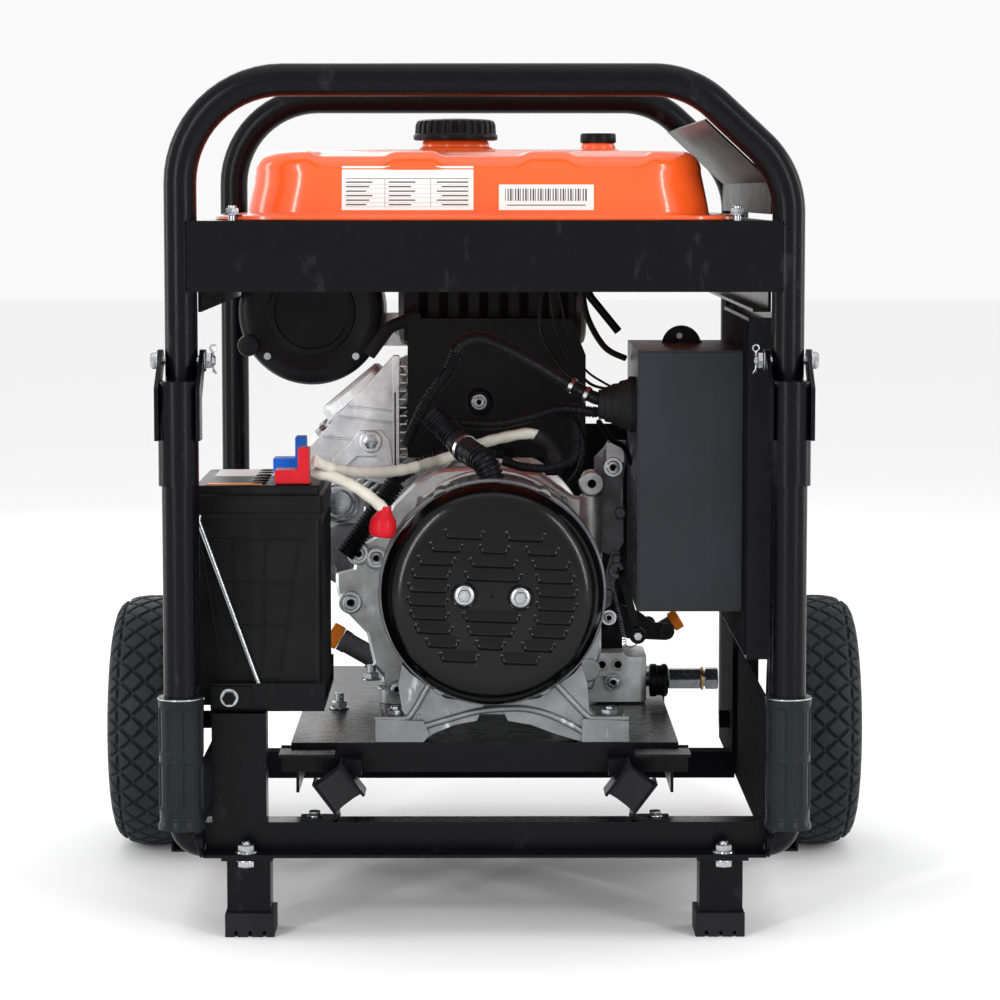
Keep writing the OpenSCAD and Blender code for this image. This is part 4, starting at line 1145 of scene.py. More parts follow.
def make_cylinder():
    shape = Shape(ALLOY)
    shape.loft([[up_the_bore(46 * cos(t), 46 * sin(t), up) for t in [2 * pi * k / 48 for k in range(48)]]
                for up in (109, 191)])
    rim = rounded_rectangle((-61, 61), (-57, 57), 16, 0, 5)
    for fin in range(9):
        up = 119 + fin * 8
        layers = ((0.985, up), (1, up + 0.8), (1, up + 1.8), (0.985, up + 2.6))
        shape.loft(scaled(rim, layers, up_the_bore))
    head = rounded_rectangle((-61, 61), (-57, 57), 12, 0, 5)
    layers = ((0.98, 190), (1, 192), (1, 200), (0.93, 203), (0.93, 208), (1, 211), (1, 222), (0.96, 226))
    shape.loft(scaled(head, layers, up_the_bore))
    cover = rounded_rectangle((-45, 45), (-45, 45), 12, 0, 5)
    layers = ((1, 226), (1, 230), (0.9, 232), (0.88, 242), (0.8, 245.5))
    shape.loft(scaled(cover, layers, up_the_bore))
    for x in (-52, 52):
        for d in (-48, 48):
            base, tip = Vector(up_the_bore(x, d, 226)), Vector(up_the_bore(x, d, 230))
            shape.bolt(base, tip - base, 4)
    shape.piece("finned_cylinder_and_head", "frame", ("cylinder_block",), 0.6)


def sector_ring(start, stop, r0, r1, d0, d1, steps=24):
    """Closed arc-shaped box round the engine's axis."""
    rings = []
    for k in range(steps + 1):
        a = start + (stop - start) * k / steps
        ring = []
        for r, d in ((r0, d0), (r1 - 6, d0), (r1, d0 + 6), (r1, d1), (r0, d1)):
            x, z = on_axis_point(a, r)
            ring.append((x, d, z))
        rings.append(ring)
    return rings


def make_fan_shroud():
    shape = Shape(SHEET)
    shape.hollow([(20, 641), (60, 641.5), (118, 641.5), (120, 643.5), (139, 643.5), (146, 640),
                  (149.4, 634), (149.6, 566), (150, 561), (146, 560.4), (146, 562), (147, 566), (147, 632),
                  (143, 637), (137, 640), (118, 639.6), (60, 639.4), (20, 639)], ENGINE_AXIS, BACK, 144)
    shape.hollow([(40, 560.2), (146.5, 560.2), (146.5, 562), (40, 562)], ENGINE_AXIS, BACK, 96)
    shape.use(ALLOY)
    shape.loft(sector_ring(109, 162, 142, 238, 500.5, 561))
    # Black ring between the guard and the shroud's rim: painted shade in the gap.
    shape.use(SHADOW_SLOT)
    shape.turned([(116, 641.3), (116, 641.9)], ENGINE_AXIS, BACK, 96)
    shape.use(SHEET)
    for r in (34, 50, 66, 82, 98, 114):
        shape.hollow([(r - 2.2, 641.5), (r + 2.2, 641.5), (r + 1.4, 644), (r - 1.4, 644)], ENGINE_AXIS,
                     BACK, 120)
    for a in range(0, 360, 30):
        shape.loft(spoke(a, (20, 3), (118, 5), (641.4, 643.2)))
    shape.turned([(30, 641), (30, 643), (26, 643.9), (1, 643.95)], ENGINE_AXIS, BACK, 60)
    for k in range(6):
        x, z = on_axis_point(30 + 60 * k, 141)
        shape.use(ZINC).turned([(6, 641), (6, 643), (5, 643.9)], (x, 0, z), BACK, 6)
    shape.piece("fan_shroud_and_guard", "frame", ("fan_shroud",), sharp=32)


def make_starter_motor():
    shape = Shape(DARK_ALLOY)
    o = (-150, 0, 338)
    shape.turned([(30, 400), (35, 402), (36, 408), (36, 420), (34.5, 422), (34.5, 500), (36, 503), (36, 530),
                  (30, 535)], o, BACK, 64)
    for a in (40, 220):
        shape.bolt((-150 + 25 * cos(radians(a)), 401, 338 + 25 * sin(radians(a))), FRONT, 3)
    shape.use(ZINC)
    o = (-160, 0, 396)
    shape.turned([(13, 385), (19, 386.5), (21.5, 389), (22.5, 393), (22.5, 400), (21.8, 402), (21.8, 470),
                  (22.5, 473), (22, 480)], o, BACK, 56)
    shape.hollow([(12, 385.4), (15, 384.9), (16, 385.6), (12, 386.4)], o, BACK, 40)
    clamp = [(-184, 372), (-160, 366), (-136, 372), (-132, 398), (-140, 420), (-178, 420), (-187, 398)]
    shape.use(ALLOY).prism(clamp, 402, 408)
    shape.piece("starter_motor_and_solenoid", "frame", ("starter_motor",), sharp=30)


def make_air_cleaner():
    shape = Shape(PLASTIC)
    o = (-194, 0, 603)
    shape.turned([(20, 474.5), (60, 474), (64, 472.5), (74, 472), (79, 474), (81.4, 478), (82, 484),
                  (82, 508), (80, 510), (80, 516), (82, 518), (82, 562), (78, 568), (70, 570)], o, BACK, 96)
    shape.hollow([(40, 474.5), (42, 472.8), (48, 472.8), (50, 474.5)], o, BACK, 72)
    for k in range(4):
        a = radians(45 + 90 * k)
        shape.use(ZINC).turned([(4, 471.8), (4, 476)], (-194 + cos(a) * 70, 0, 603 + sin(a) * 70), BACK, 20)
    shape.use(PLASTIC)
    shape.turned([(9, 456.5), (11.5, 457), (12, 459), (12, 464), (9, 466), (9, 472), (12, 474), (12, 500)],
                 (-264, 0, 566), BACK, 36)
    shape.use(ALLOY)
    shape.loft([rounded_rectangle((-116, -76), (498, 540), 6, z, 4) for z in (564, 566, 598, 600)])
    shape.bolt((-96, 498, 582), FRONT, 3)
    shape.piece("air_cleaner_and_carburettor", "frame", ("air_cleaner",), sharp=32)


def make_muffler():
    shape = Shape(HOT_STEEL)
    shape.turned([(34, 0), (41, 2), (44, 6), (44, 12), (42.6, 14), (42.6, 100), (44, 102), (44, 104),
                  (42.6, 106), (42.6, 192), (44, 194), (44, 201), (41, 205), (34, 207)], (-95, 445, 612),
                 RIGHT, 80)
    shape.hollow([(12.5, 485), (14, 485), (14, 599), (15, 600.5), (15, 639), (14.6, 640), (12.5, 640)],
                 (90, 0, 612), BACK, 48)
    shape.use(SHEET)
    shape.block((-88, 98), (396, 398), (574, 650))
    # Black strips on the guard: painted shade in its slits.
    for k in range(8):
        x = -72 + k * 22
        shape.use(SHADOW_SLOT).block((x, x + 10), (395.6, 396.2), (584, 640))
    shape.use(PAINT)
    shape.sweep([(100, 380, 652), (116, 380, 622), (146, 380, 585)], 4.5, 14)
    shape.piece("muffler_with_guard", "frame", ("muffler",), sharp=35)


DRAIN = (0, 400, 200)
OIL_MOUTH = (-160.4, 420, 241.2)


def make_oil_fittings():
    shape = Shape(DARK_ALLOY)
    a, b = Vector((-160, 420, 241)), Vector((-122, 420, 219.3))
    shape.sweep(densify([a, b], 2), 11.6, 36)
    axis = a - b
    shape.turned([(11.8, -9), (12.6, -8), (12.6, 0)], a, axis, 36)
    shape.turned([(11.8, 0), (14, 0), (14, 6), (11.8, 6)], b, axis, 36)
    shape.use(ZINC)
    shape.stack(DRAIN, RIGHT, ([(8.6, 125), (9, 126), (9, 205), (8.8, 206)], 36),
                ([(11.6, 203), (12.4, 204), (12.4, 238), (11.6, 239)], 6), ([(9, 238), (9, 246)], 30),
                ([(12.6, 244), (13, 245), (13, 256.6), (11.6, 258)], 6))
    shape.use(BRASS)
    shape.turned([(12.6, 239), (13, 239.6), (13, 241.6), (12.6, 242)], DRAIN, RIGHT, 36)
    shape.piece("oil_filler_and_drain", "frame", ("oil_filler",), sharp=30)
    shape = Shape(ORANGE)
    axis = Vector((-20.6, 0, 11.8))
    lobes = 16
    shape.turned([(11, 0.3), (13, 0.6), (13.6, 2), (13.6, 12), (13, 14)], OIL_MOUTH, axis, lobes * 6,
                 lambda a, h: -1.1 * ease(cos(a * lobes), 0.2, 0.8) if 1 < h < 13 else 0)
    u, v, w = directions(axis)
    top = Vector(OIL_MOUTH) + w * 14
    wing = [(-9, -2.4), (9, -2.4), (9, 2.4), (-9, 2.4)]
    shape.loft([[top + u * p * s + v * q * s + w * h for p, q in wing]
                for h, s in ((-1, 1), (8, 0.95), (9.2, 0.7))])
    shape.piece("oil_dipstick_cap", "oil_plug", ("oil_cap",), 0.5)


# ---------------------------------------------------------------- controls

PANEL_X = 300
SOCKET_D = 235
SOCKET_Z = (330, 420)
LID_HINGE_X = 309
METER = (0, 150, 540)
KEY_HOLE = (0, 330, 540)
ROCKER_PIVOT = (306, 235, 540)
TAP_PIVOT = (0, 450, 690)


def make_control_box():
    shape = Shape(BOX)
    shape.block((155, 261), (115, 355), (311, 577))
    shape.block((157, 262.4), (113.6, 115.4), (313, 575))
    for k in range(9):
        shape.block((154.4, 155.4), (160, 320), (340 + k * 12, 345 + k * 12))
    eye = [(210 + 21 * cos(pi * k / 24), 574 + 21 * sin(pi * k / 24)) for k in range(25)]
    shape.use(SHEET).prism(eye, 300, 303)
    shape.block((189, 231), (288, 303), (577, 579))
    shape.use(LABEL).turned([(3.2, 0), (3.2, 0.4)], (208, 299.9, 584), FRONT, 20)
    shape.piece("control_box_case", "frame", ("control_box",), 0.9)


def make_control_panel():
    shape = Shape(SHEET)
    shape.block((263.2, PANEL_X - 0.6), (70, 400), (268, 612))
    # Liner behind the panel in the non-reflecting copy of the sheet paint: painted shade.
    shape.use(SHADE_SHEET).block((261.2, 263.6), (74, 396), (272, 608))
    shape.use(GREY)
    shape.block((PANEL_X - 0.8, PANEL_X), (78, 392), (276, 604))
    shape.use(PRINT)
    for z in (282, 598):
        shape.block((PANEL_X - 0.4, PANEL_X + 0.2), (84, 386), (z - 0.4, z + 0.4))
    for d0, d1, z0, z1 in ((180, 290, 285, 470), (205, 265, 500, 582), (112, 188, 500, 582),
                           (300, 360, 500, 582)):
        for lo_d, hi_d, lo_z, hi_z in ((d0, d1, z0, z0 + 0.8), (d0, d1, z1 - 0.8, z1), (d0, d0 + 0.8, z0, z1),
                                       (d1 - 0.8, d1, z0, z1)):
            shape.block((PANEL_X - 0.3, PANEL_X + 0.3), (lo_d, hi_d), (lo_z, hi_z))
    shape.use(ZINC)
    for d in (80, 390):
        for z in (278, 602):
            shape.turned([(5, -0.4), (5, 1), (3.4, 2.4)], (PANEL_X, d, z), RIGHT, 24)
    shape.use(GREY)
    for k in range(10):
        shape.block((PANEL_X - 0.5, PANEL_X + 1.1), (90, 160), (300 + k * 12, 304 + k * 12))
    shape.piece("control_panel_case", "frame", ("control_panel",), 0.8)


def make_sockets():
    shape = Shape(PLASTIC)
    for z in SOCKET_Z:
        shape.hollow([(22, 300.2), (29.4, 300.2), (30, 301), (30, 305), (29, 306), (23.5, 306), (22, 304)],
                     (0, SOCKET_D, z), RIGHT, 64)
        shape.turned([(22, 300.2), (22, 302)], (0, SOCKET_D, z), RIGHT, 48)
        # Black discs: painted shade in the socket's pin holes.
        shape.use(SHADOW_SLOT)
        for side in (-1, 1):
            shape.turned([(2.4, 301.6), (2.4, 302.3)], (0, SOCKET_D + side * 9.5, z), RIGHT, 20)
        shape.use(PLASTIC)
        for d in (SOCKET_D - 16, SOCKET_D + 13):
            shape.prism([(d, z + 28), (d + 3, z + 28), (d + 3, z + 36), (d, z + 36)], 300.2, 312, "x")
        shape.use(ZINC).turned([(1.55, -14.5), (1.55, 14.5)], (LID_HINGE_X, SOCKET_D, z + 33), BACK, 16)
        shape.use(PLASTIC)
    shape.hollow([(23, 300.2), (27.4, 300.2), (28, 301), (28, 303), (27, 304), (24, 304), (23, 302.5)], METER,
                 RIGHT, 64)
    shape.use(LABEL).turned([(23.2, 300.2), (23.2, 301.6)], METER, RIGHT, 64)
    shape.use(PRINT)
    tick = ((17, -0.35), (21, -0.35), (21, 0.35), (17, 0.35))
    for k in range(11):
        a = radians(150 - 12 * k)
        c, s = cos(a), sin(a)
        shape.loft([[(x, 150 + c * r - s * w, 532 + s * r + c * w) for r, w in tick] for x in (301.4, 301.9)])
    shape.loft([[(x, 149.6, 532), (x, 150.4, 532), (x, 139, 549), (x, 138.6, 548.6)] for x in (301.8, 302.3)])
    shape.use(PLASTIC)
    for d, z in (((215, 255), (510, 525)), ((215, 255), (555, 570)), ((215, 225), (524, 556)),
                 ((245, 255), (524, 556))):
        shape.block((300.2, 308), d, z)
    shape.use(ZINC).turned([(1.45, -11), (1.45, 11)], ROCKER_PIVOT, BACK, 16)
    shape.hollow([(6, 300.2), (11.4, 300.2), (12, 301), (12, 305), (11, 306), (6, 306)], KEY_HOLE, RIGHT, 40)
    shape.piece("panel_fittings", "frame", ("sockets",), sharp=32)


def make_socket_lid(name, body, z):
    shape = Shape(PLASTIC)
    shape.turned([(26, 306.4), (28.4, 306.5), (29, 307.2), (29, 309.6), (28, 310.7), (20, 311),
                  (18.5, 310.2), (10, 310.2)], (0, SOCKET_D, z), RIGHT, 72)
    shape.hollow([(1.66, -12), (2.6, -12), (2.7, -11.5), (2.7, 11.5), (2.6, 12), (1.66, 12)],
                 (LID_HINGE_X, SOCKET_D, z + 33), BACK, 32)
    shape.block((306.7, 310.8), (SOCKET_D - 11.5, SOCKET_D + 11.5), (z + 20, z + 30.6))
    shape.loft([[(306.8 + k * 2.6, SOCKET_D + s * (8 - k), low)
                 for s, low in ((-1, z - 27.5 - 0.6 * k), (1, z - 27.5 - 0.6 * k), (1, z - 22), (-1, z - 22))]
                for k in (0, 1)])
    shape.piece(name + "_hinged", body, (name,), sharp=35)


def make_panel_controls():
    make_socket_lid("upper_socket_lid", "upper_lid", SOCKET_Z[1])
    make_socket_lid("lower_socket_lid", "lower_lid", SOCKET_Z[0])
    shape = Shape(ZINC)
    shape.turned([(4.4, 306.6), (5, 307.2), (5, 314)], KEY_HOLE, RIGHT, 32)
    bow = [(333, 530.4), (327, 530.4), (327, 549.6), (333, 549.6)]
    shape.use(PLASTIC).prism(bow, 314, 330, "x")
    shape.piece("ignition_key", "key", ("start_key",), 0.9)
    shape = Shape(PLASTIC)
    shape.hollow([(1.56, -9), (4.8, -9), (5, -8.6), (5, 8.6), (4.8, 9), (1.56, 9)], ROCKER_PIVOT, BACK, 32)
    layers = ((309.4, 8.8, 3), (312, 8.8, 2.6), (317.5, 8.8, 2.9), (318.9, 8, 2.2))
    shape.loft([[(x, 235 + s * w, 540 + t * h) for s, t in CORNERS] for x, w, h in layers])
    shape.piece("breaker_rocker", "breaker", ("breaker_toggle",), sharp=35)
    shape = Shape(RED_PLASTIC)
    shape.hollow([(2.06, 224.5), (7.4, 224.5), (8, 225), (8, 229.4), (7.4, 230), (2.06, 230)], TAP_PIVOT,
                 RIGHT, 40)
    shape.prism([(455, 686.2), (480, 687.4), (482, 690), (480, 692.6), (455, 693.8)], 224.5, 228, "x")
    shape.piece("fuel_tap_handle", "tap_lever", ("fuel_tap_lever",), sharp=35)
    shape = Shape(SHEET)
    lever = [(149, 248.4), (176, 255), (176, 266), (147, 258.6)]
    shape.hollow([(3.06, 400.5), (8.6, 400.5), (9, 401), (9, 403.4), (8.6, 403.9), (3.06, 403.9)],
                 (140, 0, 250), BACK, 40)
    shape.prism(lever, 400.6, 403.8)
    shape.hollow([(4.1, 400.5), (7.6, 400.5), (8, 401), (8, 403.4), (7.6, 403.9), (4.1, 403.9)],
                 (181, 0, 261), BACK, 40)
    shape.piece("throttle_arm", "throttle_lever", ("stop_lever",), sharp=35)


# ---------------------------------------------------------------- wiring

LOOP_RUN = [(124, 170, 524), (113, 170, 526), (90, 175, 538), (50, 185, 562), (14, 190, 580),
            (-8, 190, 586), (-26, 190, 578), (-38, 190, 552), (-60, 190, 520), (-82, 190, 474)]
LOWER_RUN = [(124, 170, 514), (113, 170, 511), (78, 176, 514), (46, 178, 505), (10, 178, 498),
             (-28, 178, 500)]
WINDING_SLEEVE = [(-56, 148, 512), (-38, 146, 494), (-20, 130, 476), (-2, 104, 466), (6, 98, 452),
                  (8, 100, 440)]
SHORT_LEAD = [(18, 150, 462), (40, 150, 456), (66, 150, 455), (92, 150, 466), (94, 150, 494)]
STARTER_LEAD = [(-150, 300, 350), (-122, 300, 388), (-95, 300, 428)]
ELBOW_LEAD = [(53, 190, 486), (67, 190, 476), (76, 190, 456)]
STARTER_CABLE = [(-169, 58, 470), (-141, 90, 457), (-90, 150, 452), (-40, 188, 462), (0, 192, 478),
                 (40, 191, 487), (55, 190, 485.5)]
EARTH_CABLE = [(-171, 74, 456), (-150, 72, 452), (-125, 66, 440), (-104, 62, 424), (-98, 62, 413)]


def corrugated(r, pitch=3.0):
    return lambda run: r * (0.91 + 0.09 * (1 if (run / pitch) % 1 < 0.55 else -1))


def taped(r, pitch=13.0):
    return lambda run: r * (0.94 + 0.05 * ((run / pitch) % 1))


def make_harness():
    shape = Shape(PLASTIC)
    fine = spline(LOOP_RUN, 0.75)
    split = int(len(fine) * 0.62)
    shape.use(TAPE).sweep(fine[:split:2], taped(6.9), 20)
    shape.use(PLASTIC).sweep(fine[split - 2:], corrugated(7), 20)
    shape.sweep(spline(LOWER_RUN, 0.75), corrugated(6), 18)
    fine = spline(WINDING_SLEEVE, 0.8)
    shape.sweep(fine, corrugated(13, 4.2), 28)
    shape.use(TAPE).sweep(fine[len(fine) // 3:2 * len(fine) // 3], taped(13.6, 10), 28)
    shape.use(PLASTIC).sweep(spline(SHORT_LEAD, 0.75), corrugated(5, 2.4), 16)
    shape.sweep(spline(STARTER_LEAD, 0.8), corrugated(11, 4), 26)
    shape.use(RUBBER).sweep(spline(ELBOW_LEAD, 1.2),
                            lambda run: 8 - 1.6 * ease(run, 4, 14) + 1.2 * ease(run, 26, 30), 24)
    shape.piece("wiring_harness", "frame", ("harness",), sharp=60)
    shape = Shape(RUBBER)
    shape.turned([(28.5, 0.2), (29, 2), (29, 6), (26, 8), (24, 16), (22, 17), (21, 24), (19, 25), (18, 31),
                  (15.5, 32), (15, 37.6), (13, 38)], (155, 170, 519), (-1, 0, 0), 56)
    shape.piece("harness_boot", "frame", ("cable_boot",), sharp=50)
    shape = Shape(SLEEVE)
    for run in (STARTER_CABLE, EARTH_CABLE):
        shape.sweep(spline(run, 1.5),
                    lambda length: 5.8 + 0.28 * sin(length * 0.35) + 0.12 * sin(length * 1.7), 24)
    shape.use(RED_PLASTIC)
    shape.turned([(6, 0), (6.6, 1), (7, 5), (9.4, 9), (12.4, 13), (13.6, 18), (13.8, 24), (12.4, 29),
                  (10, 31)], (-99.5, 62, 424), (-0.12, 0, -1), 40)
    shape.piece("sleeved_battery_leads", "frame", ("battery_cables",), sharp=55)


# ---------------------------------------------------------------- engine front

CASE_WALL = [(-161, 310), (-161, 329), (-142, 331), (-137, 355), (-119, 366), (-100, 401), (-75, 426),
             (-50, 439), (-5, 443), (60, 436), (96, 410), (126, 406), (126, 244), (118, 200), (-98, 200),
             (-120, 226), (-128, 262), (-150, 285), (-157, 300)]


def star_ring(outline, inner, d0, d1, chamfer, count=240):
    """Cross-sections of a plate whose outline is seen whole from the engine's axis, with a round hole."""
    rings = []
    for k in range(count):
        a = 2 * pi * k / count
        c, s = cos(a), sin(a)
        reach = 0
        for (x0, z0), (x1, z1) in zip(outline, outline[1:] + outline[:1]):
            ex, ez, px, pz = x1 - x0, z1 - z0, x0 - AXIS_X, z0 - AXIS_Z
            cross = c * ez - s * ex
            if abs(cross) > 1e-9:
                t, u = (px * ez - pz * ex) / cross, (px * s - pz * c) / cross
                if t > 0 and -1e-6 <= u <= 1 + 1e-6:
                    reach = max(reach, t)
        rings.append([(AXIS_X + c * r, d, AXIS_Z + s * r) for r, d in
                      ((inner, d0), (reach - chamfer, d0), (reach, d0 + chamfer), (reach, d1), (inner, d1))])
    return rings


def socket_bolt(shape, x, d, z, r=5.0):
    """Round-headed socket screw with its washer, facing the alternator end."""
    shape.use(ZINC)
    shape.turned([(2 * r, 0), (2.1 * r, 0.5), (2.0 * r, 1.6)], (x, d, z), FRONT, 32)
    shape.hollow([(0.62 * r, 1.5), (1.35 * r, 1.5), (1.42 * r, 2), (1.42 * r, 0.9 * r + 1),
                  (1.25 * r, r + 1.4), (0.8 * r, r + 1.6), (0.62 * r, r + 1.2)], (x, d, z), FRONT, 32)
    # Black hexagon in the head: painted shade in the key socket.
    shape.use(SHADOW_SLOT).turned([(0.64 * r, 1.4), (0.64 * r, 0.6 * r + 1)], (x, d, z), FRONT, 6)


def make_engine_front():
    shape = Shape(ALLOY)
    shape.loft(star_ring(CASE_WALL, 97, 314, 330.5, 3.5), loop=True)
    lobes = ((-136, 349), (-117, 344), (-145, 296), (-96, 212), (112, 268), (112, 222))
    for x, z in lobes:
        shape.turned([(12, 312), (13, 313.5), (13, 330)], (x, 0, z), BACK, 36)
    shape.turned([(11.6, 299), (12.4, 301), (12.4, 411), (10.6, 412.4), (5, 412.4)], (114, 317, 0), UP, 44)
    shape.hollow([(4.5, 302), (12, 302), (13.5, 304), (13.5, 330), (4.5, 330)], (115, 0, 425), BACK, 40)
    # Black core in the boss: painted shade in its bore.
    shape.use(SHADOW_SLOT).turned([(4.6, 306), (4.6, 328)], (115, 0, 425), BACK, 20)
    shape.use(ALLOY)
    shape.loft(stacked(rounded_rectangle((100, 176), (330, 420), 10, 0, 5), (184, 231, 234)))
    pad = [(118, 214), (118, 236), (122, 240), (148, 240), (155, 233), (155, 221), (148, 214)]
    shape.prism(pad, 318, 330)
    # Black discs in the pad: painted shade in its holes.
    for x in (127, 144):
        shape.use(SHADOW_SLOT).turned([(4, 317.6), (4, 319)], (x, 0, 227), BACK, 24)
        shape.use(ALLOY).hollow([(4, 316.6), (6.4, 316.6), (6.8, 317.4), (6.8, 319), (4, 319)], (x, 0, 227),
                                BACK, 28)
    for x in (-60, -30, 40, 72):
        shape.prism([(x, 196), (x + 4, 196), (x + 4, 232), (x, 228)], 306, 316)
    shape.piece("crankcase_front_wall", "frame", (), 0.9)
    shape = Shape(ZINC)
    for x, z in lobes[:3]:
        socket_bolt(shape, x, 312, z, 5 if x > -140 else 5.6)
    for x, d, z, r in ((-94.6, 312, 201.5, 4.8), (134, 314, 279, 4), (138, 314, 442, 5),
                       (139, 318, 208, 4.6)):
        socket_bolt(shape, x, d, z, r)
    shape.bolt((-123, 318, 211), UP, 5, True, 8)
    shape.bolt((-157, 300, 182.3), UP, 5, True, 9)
    shape.bolt((-124, 366, 466), FRONT, 5.2)
    shape.piece("engine_bolt_set", "frame", (), 0.0, sharp=28)


def make_engine_brackets():
    shape = Shape(DARK_ALLOY)
    ear = [(118, 376), (118, 452), (128, 462), (133, 470), (152, 470), (152, 446), (149, 430), (150, 360),
           (140, 344), (126, 350)]
    shape.prism(ear, 320, 328)
    shape.use(ALLOY).prism([(131, 447), (150, 447), (150, 468), (131, 468)], 316, 321)
    shape.use(SHEET).block((100, 165), (470, 473), (236, 478))
    shape.use(DARK_ALLOY)
    shape.prism([(122, 282), (136, 292), (146, 350), (137, 352), (124, 300)], 316, 320)
    shape.hollow([(4, 312), (8, 312), (9, 313), (9, 321), (4, 321)], (142, 0, 330), BACK, 28)
    for x, z, r in ((133, 305, 5), (146, 392, 6), (142, 343, 5)):
        shape.turned([(r * 0.8, 311.5), (r, 312.5), (r, 322)], (x, 0, z), BACK, 28)
    shape.use(SHEET)
    shape.prism([(146, 250), (158, 246), (200, 244), (208, 249), (209, 258), (203, 263), (186, 264),
                 (170, 276), (150, 284)], 388, 391)
    shape.hollow([(3.4, 384), (8.6, 384), (9.2, 385), (9.2, 389), (3.4, 389)], (200, 0, 254), BACK, 32)
    shape.use(PLASTIC).turned([(16, 0), (18, 1), (18, 7), (16.6, 8), (16.6, 13), (18, 14), (18, 18),
                               (15, 20)], (180, 352, 205), RIGHT, 48)
    shape.use(ORANGE).turned([(9, 0), (11, 1), (11, 10), (9, 11)], (206, 400, 262), (0.85, 0, 0.5), 32)
    shape.use(DARK_ALLOY).turned([(8, -22), (8, 1)], (206, 400, 262), (0.85, 0, 0.5), 32)
    coil = []
    a, b = Vector((136, 308, 322)), Vector((152, 308, 250))
    along = (b - a).normalized()
    u, v, _ = directions(along)
    turns, steps = 26, 12
    for k in range(turns * steps + 1):
        t = 2 * pi * k / steps
        coil.append(a + (b - a) * k / (turns * steps) + (u * cos(t) + v * sin(t)) * 2.1)
    shape.use(ZINC).sweep(coil, 0.45, 6)
    shape.sweep([(152, 308, 250), (156, 311, 246), (163, 312, 249), (167, 312, 256)], 0.9, 8)
    shape.use(SHEET)
    shape.hollow([(5, 306), (8.4, 306), (9, 307), (9, 312), (5, 312)], (165, 0, 260), BACK, 32)
    shape.prism([(160, 262), (170, 262), (150, 332), (143, 330)], 312, 315)
    shape.bolt((165, 306, 260), FRONT, 3, False)
    shape.piece("governor_linkage_fixed", "frame", (), 0.5)


def make_cylinder_casting():
    shape = Shape(ALLOY)
    outline = [(-194, 457), (-121, 536), (-101, 558), (-93, 558), (-93, 425), (-110, 418), (-150, 430),
               (-185, 445)]
    shape.prism(outline, 369, 378)
    for x0, z0, x1, z1 in ((-160, 492, -97, 484), (-150, 503, -97, 497), (-178, 470, -140, 466)):
        shape.loft([[(x0, d, z0), (x1, d, z1), (x1, d, z1 + 2.4), (x0, d, z0 + 2.4)] for d in (366.8, 371)])
    arch = [(-165, 440), (-165, 448), (-148, 462), (-136, 478), (-112, 478), (-104, 466), (-100, 440),
            (-112, 440), (-118, 450), (-140, 450), (-150, 440)]
    shape.prism(arch, 362, 370)
    shape.turned([(11, 358), (12.5, 359.5), (12.5, 368)], (-124, 0, 466), BACK, 40)
    shape.prism([(-100, 430), (-93, 430), (-93, 560), (-100, 560)], 360, 371)
    # Black strip: painted shade in the slot.
    shape.use(SHADOW_SLOT).prism([(-98.5, 440), (-96.5, 440), (-96.5, 520), (-98.5, 520)], 359.6, 361)
    shape.use(ALLOY)
    for k in range(12):
        z = 448 + k * 9
        shape.block((-93.2, -85), (362, 374), (z, z + 2.2))
    shape.piece("cylinder_side_casting", "frame", (), 0.7)
    shape = Shape(SHEET)
    face = [(-84, 448), (110, 448), (110, 560), (94, 600), (-84, 600)]
    shape.prism(face, 366, 369)
    shape.block((66, 84), (366, 369), (428.5, 449))
    shape.block((-84, 90), (368.5, 392), (597, 600))
    shape.block((-84, -81), (368.5, 376.5), (448, 600))
    shape.prism([(-74, 470), (20, 470), (60, 492), (98, 492), (98, 494.5), (59, 494.5), (19, 472.5),
                 (-74, 472.5)], 363.5, 366.5)
    shape.hollow([(11, 365), (13, 363.4), (15, 365), (15, 366.4), (11, 366.4)], (-6, 0, 509), BACK, 40)
    for x, z in ((-65, 468), (-70, 506)):
        shape.use(ZINC).turned([(4, 368), (4, 377)], (x, 0, z), BACK, 20)
    socket_bolt(shape, -6, 365.6, 509, 4.2)
    shape.piece("cooling_air_guide", "frame", ("air_guide",), 0.6)


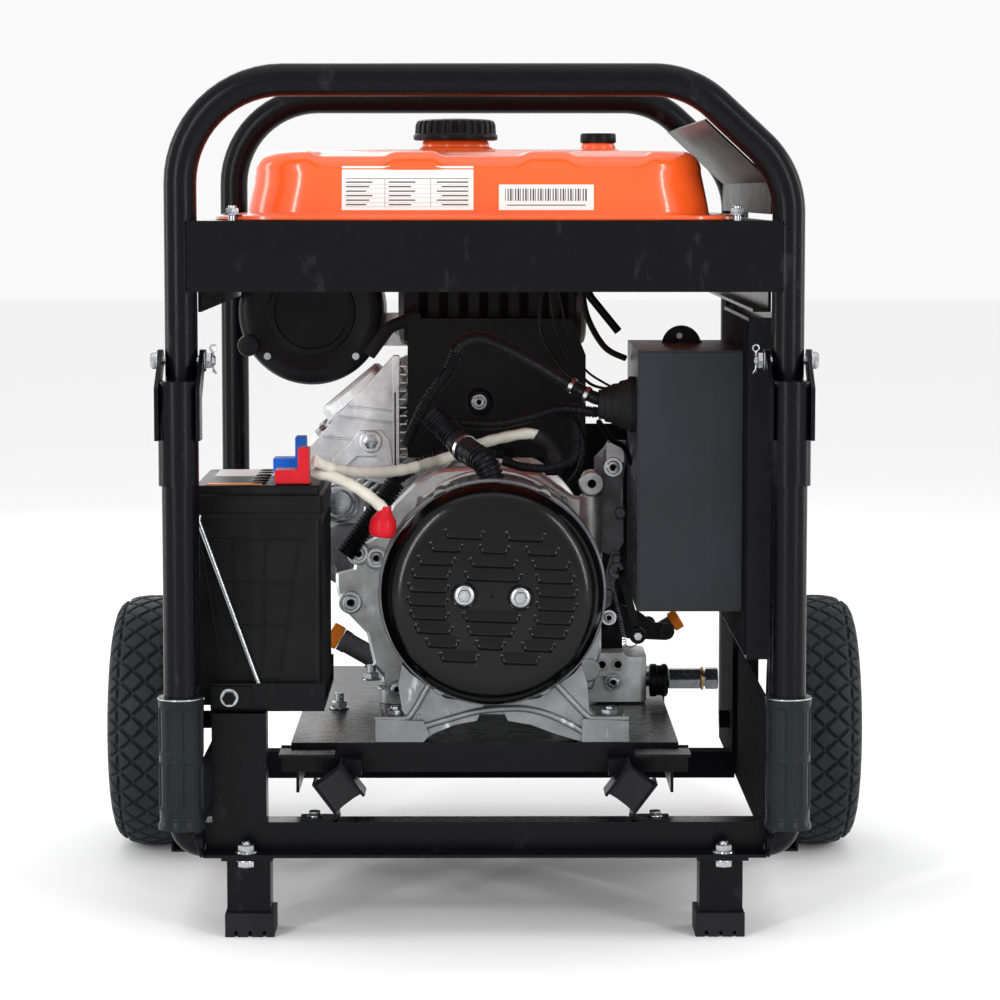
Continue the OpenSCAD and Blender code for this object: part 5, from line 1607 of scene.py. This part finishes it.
def make_loose_wiring():
    """Thin control wires, the ties round the conduits and the fuel hose."""
    shape = Shape(PLASTIC)
    runs = [
        ([(70, 300, 640), (74, 300, 600), (90, 292, 560), (112, 280, 534), (140, 262, 528)], 1.6),
        ([(78, 306, 640), (88, 306, 590), (104, 300, 552), (128, 284, 534), (150, 262, 526)], 1.3),
        ([(62, 290, 644), (60, 290, 590), (84, 280, 548), (120, 262, 516), (150, 240, 510)], 1.6),
        ([(104, 330, 640), (110, 326, 604), (128, 310, 572), (150, 296, 560)], 3.4),
        ([(94, 240, 500), (104, 236, 472), (100, 236, 446), (90, 250, 430)], 4.4),
        ([(118, 190, 500), (132, 210, 480), (146, 230, 470), (154, 250, 452)], 3.0),
        ([(-98, 300, 428), (-60, 292, 452), (-20, 284, 462), (30, 284, 458)], 7.0),
    ]
    for path, r in runs:
        shape.sweep(spline(path, 1.5), r if r < 4 else corrugated(r, 2.6), 14)
    shape.use(RUBBER).sweep(rounded_path([(-126, 380, 560), (-104, 374, 590), (-70, 372, 604)], [18]), 7, 24)
    shape.use(ZINC)
    for (x, d, z), axis, r in (((-20, 130, 476), (22, -30, -8), 14.2), ((90, 175, 538), (-40, 10, 24), 7.8),
                               ((105, 171, 529), (-23, 5, 12), 8.2)):
        shape.hollow([(r - 0.6, -2), (r + 0.5, -2), (r + 0.5, 2), (r - 0.6, 2)], (x, d, z), axis, 40)
    shape.piece("loose_wiring", "frame", (), sharp=60)


# ---------------------------------------------------------------- build

for make in (make_stage, make_camera, make_loops, make_frame_sheets, make_foot_pads, make_foot_bolts,
             make_handle_pins, make_grips, make_tank, make_tank_bolts, make_fuel_cap, make_fuel_gauge,
             make_labels, make_cover, make_alternator_bolts, make_end_bell, make_windings, make_battery,
             make_battery_fixings):
    make()
for wheel in ("left", "right"):
    make_wheel(wheel)
for make in (make_rubber_mounts, make_crankcase, make_cylinder, make_fan_shroud, make_starter_motor,
             make_air_cleaner, make_muffler, make_oil_fittings, make_control_box, make_control_panel,
             make_sockets, make_panel_controls, make_harness, make_engine_front, make_engine_brackets,
             make_cylinder_casting, make_loose_wiring):
    make()
